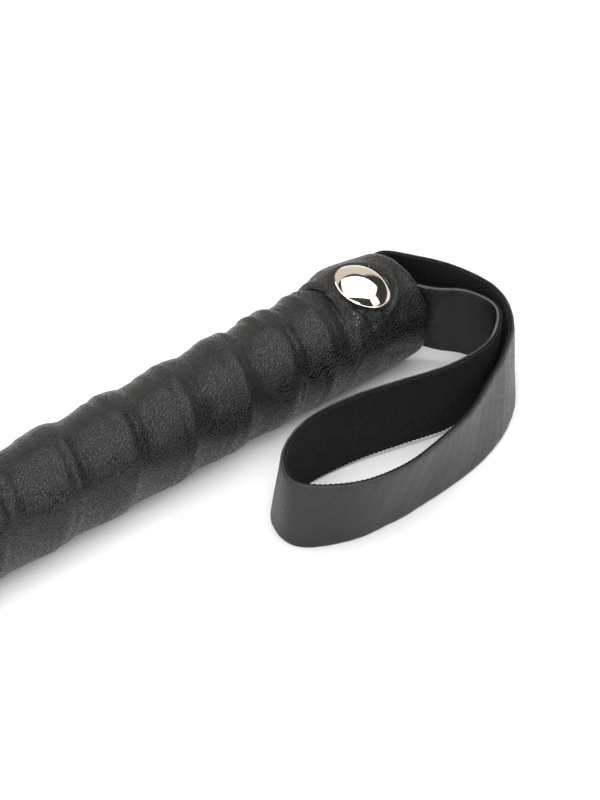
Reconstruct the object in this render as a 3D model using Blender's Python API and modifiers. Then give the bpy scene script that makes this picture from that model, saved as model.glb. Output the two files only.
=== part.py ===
"""Riding crop: a padded grip with a riveted wrist strap, a braided rod and a folded leather tip.

Metres, +Z up, +X towards the butt. The crop lies on a flat surface at z = 0. The origin is below the
middle of the whole object. Inside the script, butt coordinates have their origin under the grip's mouth.
"""
import math

import bmesh
import bpy
import numpy as np
from mathutils import Matrix, Vector

# ---- driving dimensions, in metres and degrees -------------------------------------------------
GAP = 0.0003                    # clearance kept between touching pieces

GRIP_LENGTH = 0.180             # from the ferrule's butt side to the mouth
GRIP_R = 0.0115                 # crest of the spiral wrap, which lies on the surface
AXIS_Z = GRIP_R
RIDGE_HEIGHT = 0.0010
WRAP_BORE_R = 0.0099
FOAM_R = (0.0089, 0.0096)       # inner and outer radius of the foam sleeve
CORE_R = 0.0086
CORE_END_X = -0.008             # butt end of the wooden core, inside the mouth
WRAP_END_X = -0.0072
WRAP_ROW = 0.0021               # spacing of the wrap's rings of corners
LAP_RUN = 0.003                 # the wrap thins over this length before the butt wrap and the ferrule
FOAM_END_X = -0.0078
JAW_LENGTH = 0.021              # depth of the saw cut that holds the strap

RIDGE_START = 0.0182            # from the mouth to the first ridge edge, on the far shoulder
RIDGE_PITCHES = (0.0106, 0.0118, 0.0136, 0.0157, 0.0157, 0.0164, 0.0164, 0.0164, 0.0164, 0.0164, 0.0164)
RIDGE_PHASE_DEG = 46.6          # far shoulder, where the ridge spacings are measured

BUTT_LENGTH = 0.0209            # mean length of the butt wrap
BUTT_SLANT = 0.00265            # how far its front edge leans to each side
BUTT_BORE_R = 0.0106
BUTT_BULGE = 0.0013             # extra height on its upper side, near the rivet
MOUTH_R = 0.0102
RIM_R = 0.0108                  # outer radius just before the mouth's turned-in edge

RIVET_X = -0.0137                # where its axis crosses the grip's axis
RIVET_ROLL_DEG = 19.0           # from straight up towards -Y
RIVET_PITCH_DEG = 8.0           # towards the butt
RIVET_CAP_R = 0.0062
RIVET_CAP_HEIGHT = 0.0030
RIVET_CAP_SEAT = 0.0118         # from the grip's axis to the cap's rim
RIVET_CAP_RIM = 0.0008          # straight part of the cap's side
RIVET_HOLLOW_DEPTH = 0.0007     # the cap is hollow where it takes the post's head
RIVET_HOLLOW_R = 0.0028
RIVET_HEAD_R = 0.0022
RIVET_HEAD_THICK = 0.0003
RIVET_BEVEL = 0.0002
POST_HOLE_LOW = -0.0098
CUTTER_TOP = 0.020              # cutters run past the outside of the grip
RIVET_POST_R = 0.0016
RIVET_BACK_R = 0.0030
RIVET_BACK_FACE = 0.0107        # from the grip's axis to the back cap's outer face
RIVET_BACK_THICK = 0.0006

STRAP_WIDTH = 0.0157
STRAP_LEATHER = 0.00055
STRAP_BACKING = 0.00045
STRAP_HALF = (STRAP_LEATHER + STRAP_BACKING + GAP) / 2
TAIL_OFFSET = STRAP_HALF + GAP / 2
TAIL_START_X = -0.0265
MOUTH_JOIN = 0.0016             # from a tail's end to its neck, which leaves the mouth at an angle
TAIL_MID_X = -0.018
TAIL_FLAT_X = -0.0078           # where the tails begin to twist on edge
TWIST_STEPS = 14                # cross-sections of the twist
TAIL_ROLL_DEG = 90.0 - RIVET_ROLL_DEG   # the tails' width, from straight up towards +Y

ROD_BUTT_X = -0.034
ROD_BUTT_R = 0.0025
ROD_TIP_R = 0.0014
SHAFT_LENGTH = 0.318            # exposed braid between the ferrule and the tip's binding
BRAID_WALL = 0.0006
BORE_CLEARANCE = 0.0003
FERRULE_LENGTH = 0.016
FERRULE_OVERLAP = 0.006
FERRULE_EDGE = 0.0008
FERRULE_SHOULDER = 0.0015
FERRULE_SHRINK = 0.0020
FERRULE_NOSE = 0.0012
FOAM_FRONT_INSET = 0.002

WHIPPING_LENGTH = 0.009
WHIPPING_TURNS = 9
THREAD_WALL = 0.0004            # bindings: from their bore to the valley between turns
THREAD_RISE = 0.0003            # and from the valley to a turn's crest

TIP_BINDING_LENGTH = 0.014
TIP_BINDING_TURNS = 12
TIP_BINDING_BORE = 0.0066
TIP_BINDING_OVAL = 0.74         # its height over its width
TIP_FLAP_LENGTH = 0.072
TIP_WIDTH = 0.026
TIP_ROOT_WIDTH = 0.0090
TIP_LEATHER = 0.0014
TIP_NECK_LENGTH = 0.011         # the stretch that bends when the flap moves
TIP_WIDEN_RUN = 0.022           # from the hinge line to the flap's full width
TIP_CLOSE_RUN = 0.018           # from the hinge line to where the two layers meet
TIP_SPREAD = 0.0017             # from the mid-plane to a layer's inner face at the binding
STITCH_INSET = 0.0025           # from the flap's edge to the line of stitching
STITCH_THREAD_R = 0.00025
GROOVE_WIDTH = 0.0010           # the channel that sinks the stitching below the leather's face
GROOVE_DEPTH = 0.0007

# The strap's route from the mouth round the loop and back, in millimetres in butt coordinates:
# x and y of its middle, height of its middle, and lean of its upper edge to the left of travel.
STRAP_ROUTE = (
    (0.8, 3.6, 11.4, 10), (4.9, 7.4, 10.2, 9), (9.6, 3.3, 9.2, 3), (13.2, -5.0, 9.0, 1),
    (13.4, -16.3, 8.8, 2), (8.1, -26.4, 8.5, -1), (-0.6, -33.8, 8.3, -5), (-10.7, -39.0, 8.3, -4),
    (-21.4, -42.7, 8.1, 4), (-32.4, -44.5, 8.0, 10), (-43.6, -45.1, 7.8, 14), (-54.6, -43.1, 7.9, 11),
    (-62.6, -36.0, 7.9, 3), (-57.7, -26.5, 8.0, -9), (-46.6, -23.0, 8.1, -2), (-35.0, -23.9, 8.4, -1),
    (-23.8, -26.8, 8.6, -2), (-12.9, -29.5, 8.6, -3), (-1.7, -28.9, 8.9, -5), (7.6, -23.0, 9.8, 0),
    (7.5, -14.7, 10.3, 1), (3.7, -9.6, 10.6, 5), (0.8, -5.0, 11.2, 7))
NECK_OUTER_END = 3              # the route's point where the outer neck meets the loop
NECK_INNER_START = 19           # the route's point where the loop meets the inner neck
ROUTE_STEPS = 8                 # cross-sections for each stretch of the route

LOOP_JOINT_X = 0.001
LOOP_JOINT_Y = -0.001

# ---- places along the axis, worked out from the sizes above ---------------------------------------
GRIP_FRONT_X = -GRIP_LENGTH
FERRULE_FRONT_X = GRIP_FRONT_X - FERRULE_LENGTH + FERRULE_OVERLAP
BRAID_END_X = GRIP_FRONT_X + 0.004
TIP_BINDING_X = FERRULE_FRONT_X - SHAFT_LENGTH
TIP_HINGE_X = TIP_BINDING_X - TIP_BINDING_LENGTH
ROD_TIP_X = TIP_HINGE_X + 0.001
TIP_END_X = TIP_HINGE_X - TIP_FLAP_LENGTH

PARTS = "riding_crop"
CUTTERS = "cutters"


# ---- scene and object helpers --------------------------------------------------------------------
def clear_scene():
    for obj in list(bpy.data.objects):
        bpy.data.objects.remove(obj, do_unlink=True)
    for mesh in list(bpy.data.meshes):
        bpy.data.meshes.remove(mesh)


def collection(name):
    found = bpy.data.collections.get(name)
    if found is None:
        found = bpy.data.collections.new(name)
        bpy.context.scene.collection.children.link(found)
    return found


def material(name, color, roughness, metallic=0.0):
    mat = bpy.data.materials.new(name)
    mat.use_nodes = True
    shader = mat.node_tree.nodes["Principled BSDF"]
    shader.inputs["Base Color"].default_value = (*color, 1.0)
    shader.inputs["Roughness"].default_value = roughness
    shader.inputs["Metallic"].default_value = metallic
    return mat


def add_object(name, mesh, mat):
    obj = bpy.data.objects.new(name, mesh)
    if mat is not None:
        mesh.materials.append(mat)
    mesh.shade_smooth()
    mesh.set_sharp_from_angle(angle=math.radians(35))
    collection(PARTS).objects.link(obj)
    return obj


def mesh_from(name, verts, faces):
    mesh = bpy.data.meshes.new(name)
    mesh.from_pydata([tuple(v) for v in verts], [], faces)
    bm = bmesh.new()
    bm.from_mesh(mesh)
    bmesh.ops.recalc_face_normals(bm, faces=bm.faces)
    bm.to_mesh(mesh)
    bm.free()
    return mesh


def turned(name, profile, mat, segments=32, matrix=None):
    """A turned piece: the profile's (radius, height) points run down its outer side and back inside."""
    mesh = bpy.data.meshes.new(name)
    verts = [(radius, 0, height) for radius, height in profile]
    closed = profile[0][0] > 0 or profile[-1][0] > 0
    edges = [(i, i + 1) for i in range(len(profile) - 1)]
    if closed:
        edges.append((len(profile) - 1, 0))
    mesh.from_pydata(verts, edges, [])
    obj = add_object(name, mesh, mat)
    screw = obj.modifiers.new("turn", "SCREW")
    screw.axis = "Z"
    screw.steps = segments
    screw.render_steps = segments
    screw.use_merge_vertices = True
    screw.merge_threshold = 0.00001
    screw.use_smooth_shade = True
    if matrix is not None:
        obj.matrix_world = matrix
    return obj


def along_x(x=0.0, y=0.0, z=AXIS_Z):
    """A frame whose Z runs along world +X, for pieces turned about the crop's axis."""
    return Matrix.Translation((x, y, z)) @ Matrix.Rotation(math.radians(90), 4, "Y")


def cutter_cylinder(name, radius, z_low, z_high, matrix, segments=24):
    mesh = bpy.data.meshes.new(name)
    bm = bmesh.new()
    bmesh.ops.create_cone(bm, cap_ends=True, segments=segments, radius1=radius, radius2=radius,
                          depth=z_high - z_low)
    bmesh.ops.translate(bm, verts=bm.verts, vec=(0, 0, (z_high + z_low) / 2))
    bm.to_mesh(mesh)
    bm.free()
    obj = bpy.data.objects.new(name, mesh)
    obj.matrix_world = matrix
    return hide_cutter(obj)


def cutter_box(name, size, centre, matrix=None):
    mesh = bpy.data.meshes.new(name)
    bm = bmesh.new()
    bmesh.ops.create_cube(bm, size=1.0)
    bmesh.ops.scale(bm, vec=size, verts=bm.verts)
    bmesh.ops.translate(bm, vec=centre, verts=bm.verts)
    bm.to_mesh(mesh)
    bm.free()
    obj = bpy.data.objects.new(name, mesh)
    if matrix is not None:
        obj.matrix_world = matrix
    return hide_cutter(obj)


def cutter_prism(name, outline, z_low, z_high):
    count = len(outline)
    verts = [(x, y, z_low) for x, y in outline] + [(x, y, z_high) for x, y in outline]
    sides = [(k, (k + 1) % count, count + (k + 1) % count, count + k) for k in range(count)]
    faces = sides + [tuple(range(count)), tuple(range(count, 2 * count))]
    return hide_cutter(bpy.data.objects.new(name, mesh_from(name, verts, faces)))


def hide_cutter(obj):
    obj.display_type = "WIRE"
    obj.hide_render = True
    collection(CUTTERS).objects.link(obj)
    return obj


def cut(obj, cutter):
    modifier = obj.modifiers.new(cutter.name, "BOOLEAN")
    modifier.operation = "DIFFERENCE"
    modifier.solver = "EXACT"
    modifier.object = cutter


# ---- grip: core, foam, spiral wrap, butt wrap ------------------------------------------------------
def ridge_turns(x):
    """How many turns of the spiral lie between the first ridge edge and x, on the far shoulder."""
    edges = RIDGE_START + np.concatenate(([0.0], np.cumsum(RIDGE_PITCHES)))
    first = RIDGE_PITCHES[0]
    edges = np.concatenate(([RIDGE_START - 2 * first, RIDGE_START - first], edges))
    return float(np.interp(-x, edges, np.arange(len(edges)) - 2.0))


def wrap_radius(x, angle):
    """Outer radius of the spiral wrap; each turn laps over the one nearer the butt."""
    turn = ridge_turns(x) - (angle + math.radians(RIDGE_PHASE_DEG)) / (2 * math.pi)
    u = turn % 1.0
    rise = min(1.0, u / 0.10)
    fall = 0.5 + 0.5 * math.cos(math.pi * max(0.0, (u - 0.10) / 0.90))
    height = GRIP_R - RIDGE_HEIGHT * (1 - rise * fall)
    from_butt_wrap = -BUTT_LENGTH - BUTT_SLANT - x
    from_ferrule = x - GRIP_FRONT_X - FERRULE_OVERLAP
    lap = min(1.0, max(0.0, min(from_butt_wrap, from_ferrule) / LAP_RUN))
    return (BUTT_BORE_R - GAP) * (1 - lap) + height * lap


def ring_solid(name, rings, segments, mat):
    """A closed solid about the crop's axis; each ring gives (x, radius) at an angle from straight up."""
    verts = []
    for ring in rings:
        for k in range(segments):
            angle = 2 * math.pi * k / segments
            x, radius = ring(angle)
            verts.append((x, -radius * math.sin(angle), AXIS_Z + radius * math.cos(angle)))
    faces = []
    for ring in range(len(rings)):
        near, far = ring * segments, ((ring + 1) % len(rings)) * segments
        for k in range(segments):
            after = (k + 1) % segments
            faces.append((near + k, near + after, far + after, far + k))
    return add_object(name, mesh_from(name, verts, faces), mat)


def make_grip_wrap(mat):
    rows = int(round((WRAP_END_X - GRIP_FRONT_X) / WRAP_ROW))
    stations = [GRIP_FRONT_X + (WRAP_END_X - GRIP_FRONT_X) * i / rows for i in range(rows + 1)]
    rings = [lambda a, x=x: (x, wrap_radius(x, a)) for x in stations]
    rings += [lambda a: (WRAP_END_X, WRAP_BORE_R), lambda a: (GRIP_FRONT_X, WRAP_BORE_R)]
    return ring_solid("grip_wrap", rings, 20, mat)


def butt_front_x(angle):
    return -BUTT_LENGTH + BUTT_SLANT * math.cos(angle + math.radians(RIDGE_PHASE_DEG))


def butt_radius(t, angle):
    """Outer radius of the butt wrap, from its front edge (t = 0) to the mouth (t = 1)."""
    upper = max(0.0, math.cos(angle + math.radians(10))) ** 0.8
    swell = math.sin(math.pi * min(1.0, 0.25 + 0.80 * t)) ** 1.5
    return GRIP_R + BUTT_BULGE * upper * swell


def butt_ring(t, radius=None):
    """A ring at t of the butt wrap's length; with no radius it follows the outer shape."""
    return lambda a: (butt_front_x(a) * (1 - t), butt_radius(t, a) if radius is None else radius)


def make_butt_wrap(mat):
    rings = [butt_ring(i / 12) for i in range(12)]
    rings += [butt_ring(0.97, RIM_R), butt_ring(1.0, MOUTH_R), butt_ring(0.99, MOUTH_R)]
    rings += [butt_ring(0.93, MOUTH_R), butt_ring(0.90, (MOUTH_R + BUTT_BORE_R) / 2)]
    rings += [butt_ring(0.86, BUTT_BORE_R), butt_ring(0.0, BUTT_BORE_R)]
    return ring_solid("butt_wrap", rings, 32, mat)


def make_grip_core(mat):
    front = GRIP_FRONT_X + 0.001
    bore = ROD_BUTT_R + BORE_CLEARANCE
    blind = ROD_BUTT_X + GAP
    profile = [(0, CORE_END_X), (CORE_R - 0.0006, CORE_END_X), (CORE_R, CORE_END_X - 0.0006),
               (CORE_R, front + 0.006), (CORE_R - 0.0015, front), (bore, front), (bore, blind), (0, blind)]
    core = turned("grip_core", profile, mat, 32, along_x())
    slot = 2 * (2 * STRAP_HALF + GAP / 2 + GAP)
    kerf_length = 2 * JAW_LENGTH
    kerf = cutter_box("jaw_kerf", (kerf_length, 3 * CORE_R, slot), (CORE_END_X, 0, 0),
                      Matrix.Translation((0, 0, AXIS_Z)) @ tail_roll())
    cut(core, kerf)
    return core


def tail_roll():
    """Turns a level strap (width along Y) to the tails' roll about the crop's axis."""
    return Matrix.Rotation(math.radians(RIVET_ROLL_DEG), 4, "X")


# ---- rivet ---------------------------------------------------------------------------------------
def rivet_frame():
    roll = Matrix.Rotation(math.radians(RIVET_ROLL_DEG), 4, "X")
    pitch = Matrix.Rotation(math.radians(RIVET_PITCH_DEG), 4, "Y")
    return Matrix.Translation((RIVET_X, 0, AXIS_Z)) @ roll @ pitch


def make_rivet(mat):
    seat = RIVET_CAP_SEAT
    rim = RIVET_CAP_RIM
    dome = [(RIVET_CAP_R * math.cos(a), seat + rim + (RIVET_CAP_HEIGHT - rim) * math.sin(a))
            for a in np.linspace(math.pi / 2, 0, 8)]
    dome[0] = (0.0, dome[0][1])
    lip = [(RIVET_CAP_R, seat + rim / 2), (RIVET_CAP_R - rim / 2, seat)]
    hollow_top = seat + RIVET_HOLLOW_DEPTH
    hollow = [(RIVET_HOLLOW_R, seat), (RIVET_HOLLOW_R - RIVET_BEVEL, hollow_top), (0, hollow_top)]
    turned("rivet_cap", dome + lip + hollow, mat, 32, rivet_frame())
    back_inner = -RIVET_BACK_FACE + RIVET_BACK_THICK + GAP
    top = seat + RIVET_HOLLOW_DEPTH - GAP
    turned("rivet_post", [(0, top), (RIVET_HEAD_R, top), (RIVET_HEAD_R, top - RIVET_HEAD_THICK),
                          (RIVET_POST_R, top - RIVET_HEAD_THICK), (RIVET_POST_R, back_inner),
                          (0, back_inner)],
           mat, 20, rivet_frame())
    face, inside = -RIVET_BACK_FACE, -RIVET_BACK_FACE + RIVET_BACK_THICK
    turned("rivet_back", [(0, inside), (RIVET_BACK_R, inside), (RIVET_BACK_R, face + RIVET_BEVEL),
                          (RIVET_BACK_R - RIVET_BEVEL, face), (0, face)], mat, 24, rivet_frame())


# ---- strap ---------------------------------------------------------------------------------------
def smooth_route(points, steps):
    """Catmull-Rom curve through rows of numbers."""
    rows = [np.array(p, dtype=float) for p in points]
    rows = [2 * rows[0] - rows[1]] + rows + [2 * rows[-1] - rows[-2]]
    out = []
    for i in range(1, len(rows) - 2):
        a, b, c, d = rows[i - 1], rows[i], rows[i + 1], rows[i + 2]
        for k in range(steps):
            t = k / steps
            out.append(0.5 * (2 * b + (c - a) * t + (2 * a - 5 * b + 4 * c - d) * t * t
                              + (3 * b - a - 3 * c + d) * t ** 3))
    out.append(rows[-2])
    return out


def strap_sections():
    """Cross-sections (middle, heading, width direction) from the mouth round the loop and back."""
    route = [(x / 1000, y / 1000, z / 1000, lean) for x, y, z, lean in STRAP_ROUTE]
    rows = smooth_route(route, ROUTE_STEPS)
    middles = [Vector(row[:3]) for row in rows]
    sections = []
    for i, row in enumerate(rows):
        heading = middles[min(i + 1, len(rows) - 1)] - middles[max(i - 1, 0)]
        heading.z = 0
        heading.normalize()
        left = Vector((0, 0, 1)).cross(heading)
        lean = math.radians(row[3])
        width = Vector((0, 0, 1)) * math.cos(lean) + left * math.sin(lean)
        sections.append((middles[i], heading, width))
    return sections


def tail_sections(side):
    """Cross-sections of one clamped tail, from its cut end to the mouth; side is -1 lower, +1 upper."""
    mouth = STRAP_ROUTE[0] if side < 0 else STRAP_ROUTE[-1]
    mouth_x, goal = mouth[0] / 1000, Vector((0, mouth[1] / 1000, mouth[2] / 1000))
    goal_roll = mouth[3] if side < 0 else -mouth[3]
    normal = Vector((0, -math.sin(math.radians(RIVET_ROLL_DEG)), math.cos(math.radians(RIVET_ROLL_DEG))))
    flat = Vector((0, 0, AXIS_Z)) + normal * side * TAIL_OFFSET
    sections = []
    places = [(TAIL_START_X, 0.0), (TAIL_MID_X, 0.0)]
    for k in range(TWIST_STEPS + 1):
        t = k / TWIST_STEPS
        places.append((TAIL_FLAT_X + (mouth_x - MOUTH_JOIN - TAIL_FLAT_X) * t, t))
    for x, t in places:
        ease = t * t * (3 - 2 * t)
        middle = flat.lerp(goal, ease)
        middle.x = x
        roll = math.radians(TAIL_ROLL_DEG + (goal_roll - TAIL_ROLL_DEG) * ease)
        width = Vector((0, math.sin(roll), math.cos(roll)))
        sections.append((middle, Vector((-side, 0, 0)), width))
    return sections


def strip(name, sections, low, high, width, mat):
    """A flat strip lofted through cross-sections; low and high are its faces along the leather's normal."""
    verts = []
    for middle, heading, across in sections:
        normal = across.cross(heading).normalized()
        for edge, depth in ((-1, low), (1, low), (1, high), (-1, high)):
            verts.append(middle + across * (edge * width / 2) + normal * depth)
    return add_object(name, mesh_from(name, verts, strip_faces(len(sections))), mat)


def strip_faces(count):
    """Faces of a strip of four-cornered sections. Both its broad faces split along the same diagonal, so
    that two layers of a twisted strip stay parallel."""
    faces = [(0, 1, 2, 3)]
    for i in range(count - 1):
        a, b = 4 * i, 4 * (i + 1)
        for k in range(4):
            after = (k + 1) % 4
            if k == 2:
                faces += [(a + k, a + after, b + k), (a + after, b + after, b + k)]
            else:
                faces += [(a + k, a + after, b + after), (a + k, b + after, b + k)]
    last = 4 * (count - 1)
    faces.append((last, last + 1, last + 2, last + 3))
    return faces


def trimmed(sections, start, end):
    """Pull the first and last cross-section in along the strap, to leave a gap at each join."""
    out = list(sections)
    if start:
        middle, heading, across = out[0]
        out[0] = (middle + (out[1][0] - middle).normalized() * GAP / 2, heading, across)
    if end:
        middle, heading, across = out[-1]
        out[-1] = (middle + (out[-2][0] - middle).normalized() * GAP / 2, heading, across)
    return out


def make_strap(leather, backing):
    whole = strap_sections()
    outer_end = NECK_OUTER_END * ROUTE_STEPS
    inner_start = NECK_INNER_START * ROUTE_STEPS
    stretches = {
        "tail_outer": tail_sections(-1),
        "neck_outer": trimmed(whole[:outer_end + 1], False, True),
        "loop": trimmed(whole[outer_end:inner_start + 1], True, True),
        "neck_inner": trimmed(whole[inner_start:], True, False),
        "tail_inner": tail_sections(1),
    }
    made = {}
    for name, sections in stretches.items():
        made[name + "_leather"] = strip(name + "_leather", sections, GAP / 2, GAP / 2 + STRAP_LEATHER,
                                        STRAP_WIDTH, leather)
        made[name + "_backing"] = strip(name + "_backing", sections, -GAP / 2 - STRAP_BACKING, -GAP / 2,
                                        STRAP_WIDTH - 0.0004, backing)
    return made


# ---- shaft and ferrule ----------------------------------------------------------------------------
def rod_radius(x):
    t = (x - ROD_BUTT_X) / (ROD_TIP_X - ROD_BUTT_X)
    return ROD_BUTT_R + (ROD_TIP_R - ROD_BUTT_R) * t


def braid_radius(x):
    return rod_radius(x) + BORE_CLEARANCE + BRAID_WALL


def make_shaft(rod_mat, braid_mat):
    turned("shaft_rod", [(0, ROD_BUTT_X), (rod_radius(ROD_BUTT_X), ROD_BUTT_X),
                         (rod_radius(ROD_TIP_X), ROD_TIP_X), (0, ROD_TIP_X)], rod_mat, 20, along_x())
    braid_start, braid_stop = GRIP_FRONT_X - GAP, TIP_BINDING_X + 0.002
    turned("shaft_braid", [(braid_radius(braid_start), braid_start),
                           (braid_radius(braid_stop), braid_stop),
                           (rod_radius(braid_stop) + BORE_CLEARANCE, braid_stop),
                           (rod_radius(braid_start) + BORE_CLEARANCE, braid_start)], braid_mat, 24, along_x())


def make_ferrule(leather, thread):
    front, back = FERRULE_FRONT_X, GRIP_FRONT_X + FERRULE_OVERLAP
    lap_r = BUTT_BORE_R
    wall = GRIP_R - lap_r
    nose_bore = braid_radius(front) + GAP
    turned("grip_ferrule", [
        (lap_r + wall * 0.6, back), (lap_r + wall, back - FERRULE_EDGE),
        (lap_r + wall, GRIP_FRONT_X + FERRULE_SHOULDER), (lap_r, GRIP_FRONT_X - FERRULE_SHRINK),
        (nose_bore + wall * 1.6, front + FERRULE_NOSE), (nose_bore + wall, front),
        (nose_bore, front), (nose_bore, GRIP_FRONT_X - FERRULE_NOSE), (lap_r, GRIP_FRONT_X - GAP * 2),
        (lap_r, back)], leather, 32, along_x())


def wound(name, start, end, turns, bore, mat, flatten=1.0):
    """Thread wound side by side round the shaft, as one ribbed turned sleeve."""
    pitch = (start - end) / turns
    profile = []
    for k in range(turns):
        top = start - pitch * k
        valley = bore(top) + THREAD_WALL
        profile += [(valley, top), (valley + THREAD_RISE, top - pitch * 0.3),
                    (valley + THREAD_RISE, top - pitch * 0.7)]
    profile += [(bore(end) + THREAD_WALL, end), (bore(end), end), (bore(start), start)]
    oval = Matrix.Diagonal((flatten, 1.0, 1.0, 1.0))
    return turned(name, profile, mat, 24, along_x() @ oval)


def make_bindings(thread):
    whipping_start = FERRULE_FRONT_X - GAP
    wound("grip_whipping", whipping_start, whipping_start - WHIPPING_LENGTH, WHIPPING_TURNS,
          lambda x: braid_radius(x) + GAP, thread)
    wound("tip_binding", TIP_BINDING_X, TIP_HINGE_X + 0.0005, TIP_BINDING_TURNS,
          lambda x: TIP_BINDING_BORE, thread, TIP_BINDING_OVAL)


# ---- tip ------------------------------------------------------------------------------------------
def tip_half_width(x):
    t = min(1.0, max(0.0, (TIP_HINGE_X - x) / TIP_WIDEN_RUN))
    ease = t * t * (3 - 2 * t)
    return (TIP_ROOT_WIDTH + (TIP_WIDTH - TIP_ROOT_WIDTH) * ease) / 2


def tip_layer_height(x):
    """Height of a layer's middle above the flap's mid-plane."""
    t = min(1.0, max(0.0, (TIP_HINGE_X - x) / TIP_CLOSE_RUN))
    ease = t * t * (3 - 2 * t)
    closed = TIP_LEATHER / 2 + GAP / 2
    return TIP_SPREAD + TIP_LEATHER / 2 + (closed - TIP_SPREAD - TIP_LEATHER / 2) * ease


def tip_strip(name, middles, mat):
    """A strip of the tip's leather through (x, height) points, its width following the flap's outline."""
    sections = []
    for i, (x, height) in enumerate(middles):
        before, after = middles[max(i - 1, 0)], middles[min(i + 1, len(middles) - 1)]
        heading = Vector((after[0] - before[0], 0, after[1] - before[1])).normalized()
        normal = Vector((0, 1, 0)).cross(heading)
        sections.append((Vector((x, 0, AXIS_Z + height)), normal, tip_half_width(x)))
    verts = []
    for middle, normal, half in sections:
        for side, depth in ((-1, -0.5), (1, -0.5), (1, 0.5), (-1, 0.5)):
            verts.append(middle + Vector((0, side * half, 0)) + normal * (depth * TIP_LEATHER))
    return add_object(name, mesh_from(name, verts, strip_faces(len(sections))), mat)


def make_tip(leather, thread):
    neck_end = TIP_HINGE_X - TIP_NECK_LENGTH
    root = [TIP_BINDING_X - 0.001, TIP_HINGE_X + GAP / 2]
    neck = np.linspace(TIP_HINGE_X - GAP / 2, neck_end + GAP / 2, 6)
    for layer, side in (("upper", 1), ("lower", -1)):
        tip_strip("tip_root_" + layer, [(x, side * tip_layer_height(x)) for x in root], leather)
        tip_strip("tip_neck_" + layer, [(x, side * tip_layer_height(x)) for x in neck], leather)
    fold_r = TIP_LEATHER / 2 + GAP / 2
    closed_x = TIP_HINGE_X - TIP_WIDEN_RUN - 0.002
    run = list(np.linspace(neck_end - GAP / 2, closed_x, 6))
    run += list(np.linspace(closed_x - 0.012, TIP_END_X + fold_r + TIP_LEATHER / 2, 3))
    upper = [(x, tip_layer_height(x)) for x in run]
    bend_x = run[-1]
    fold = [(bend_x - fold_r * math.sin(a), fold_r * math.cos(a)) for a in np.linspace(0, math.pi, 9)[1:-1]]
    lower = [(x, -tip_layer_height(x)) for x in reversed(run)]
    flap = tip_strip("tip_flap", upper + fold + lower, leather)
    stitch(flap, closed_x, thread)


def stitch(flap, start_x, thread):
    """A line of thread down each side of the flap and across its fold, sunk in a channel in each face."""
    end_x = TIP_END_X + 0.004
    line_y = TIP_WIDTH / 2 - STITCH_INSET
    half = GROOVE_WIDTH / 2
    outline = [(start_x + half, line_y + half), (end_x - half, line_y + half),
               (end_x - half, -line_y - half), (start_x + half, -line_y - half),
               (start_x + half, -line_y + half), (end_x + half, -line_y + half),
               (end_x + half, line_y - half), (start_x + half, line_y - half)]
    line = [(start_x, line_y), (end_x, line_y), (end_x, -line_y), (start_x, -line_y)]
    for layer, side in (("upper", 1), ("lower", -1)):
        surface = AXIS_Z + side * (TIP_LEATHER + GAP / 2)
        cut(flap, cutter_prism("groove_" + layer, outline, surface - GROOVE_DEPTH, surface + GROOVE_DEPTH))
        height = surface - side * GROOVE_DEPTH / 2
        points = [Vector((x, y, height)) for x, y in line]
        round_thread("tip_thread_" + layer, points, STITCH_THREAD_R, thread)


def round_thread(name, points, radius, mat):
    curve = bpy.data.curves.new(name, "CURVE")
    curve.dimensions = "3D"
    curve.bevel_depth = radius
    curve.bevel_resolution = 2
    curve.use_fill_caps = True
    spline = curve.splines.new("POLY")
    spline.points.add(len(points) - 1)
    for target, point in zip(spline.points, points):
        target.co = (*point, 1.0)
    obj = bpy.data.objects.new(name, curve)
    curve.materials.append(mat)
    collection(PARTS).objects.link(obj)
    return obj


# ---- assembly -------------------------------------------------------------------------------------
def empty(name, location):
    obj = bpy.data.objects.new(name, None)
    obj.empty_display_size = 0.02
    obj.location = location
    collection(PARTS).objects.link(obj)
    return obj


def world_box():
    depsgraph = bpy.context.evaluated_depsgraph_get()
    low, high = Vector((1e9,) * 3), Vector((-1e9,) * 3)
    for obj in collection(PARTS).objects:
        if obj.type == "EMPTY":
            continue
        evaluated = obj.evaluated_get(depsgraph)
        mesh = evaluated.to_mesh()
        for vertex in mesh.vertices:
            place = evaluated.matrix_world @ vertex.co
            for axis in range(3):
                low[axis] = min(low[axis], place[axis])
                high[axis] = max(high[axis], place[axis])
        evaluated.to_mesh_clear()
    return low, high


def place_and_group():
    """Joint empties on their axes, everything on one frame, and the origin below the middle."""
    low, high = world_box()
    frame = empty("crop_frame", (0, 0, 0))
    loop_joint = empty("wrist_loop_joint", (LOOP_JOINT_X, LOOP_JOINT_Y, AXIS_Z))
    tip_joint = empty("tip_joint", (TIP_HINGE_X, 0, AXIS_Z))
    bpy.context.view_layer.update()
    for obj in list(collection(PARTS).objects) + list(collection(CUTTERS).objects):
        parent = frame
        if obj.name.startswith(("loop_", "neck_")):
            parent = loop_joint
        elif obj.name.startswith(("tip_flap", "tip_neck", "tip_thread")):
            parent = tip_joint
        if obj != frame:
            obj.parent = parent
            obj.matrix_parent_inverse = parent.matrix_world.inverted()
    frame.location = (-(low.x + high.x) / 2, -(low.y + high.y) / 2, -low.z)


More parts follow.
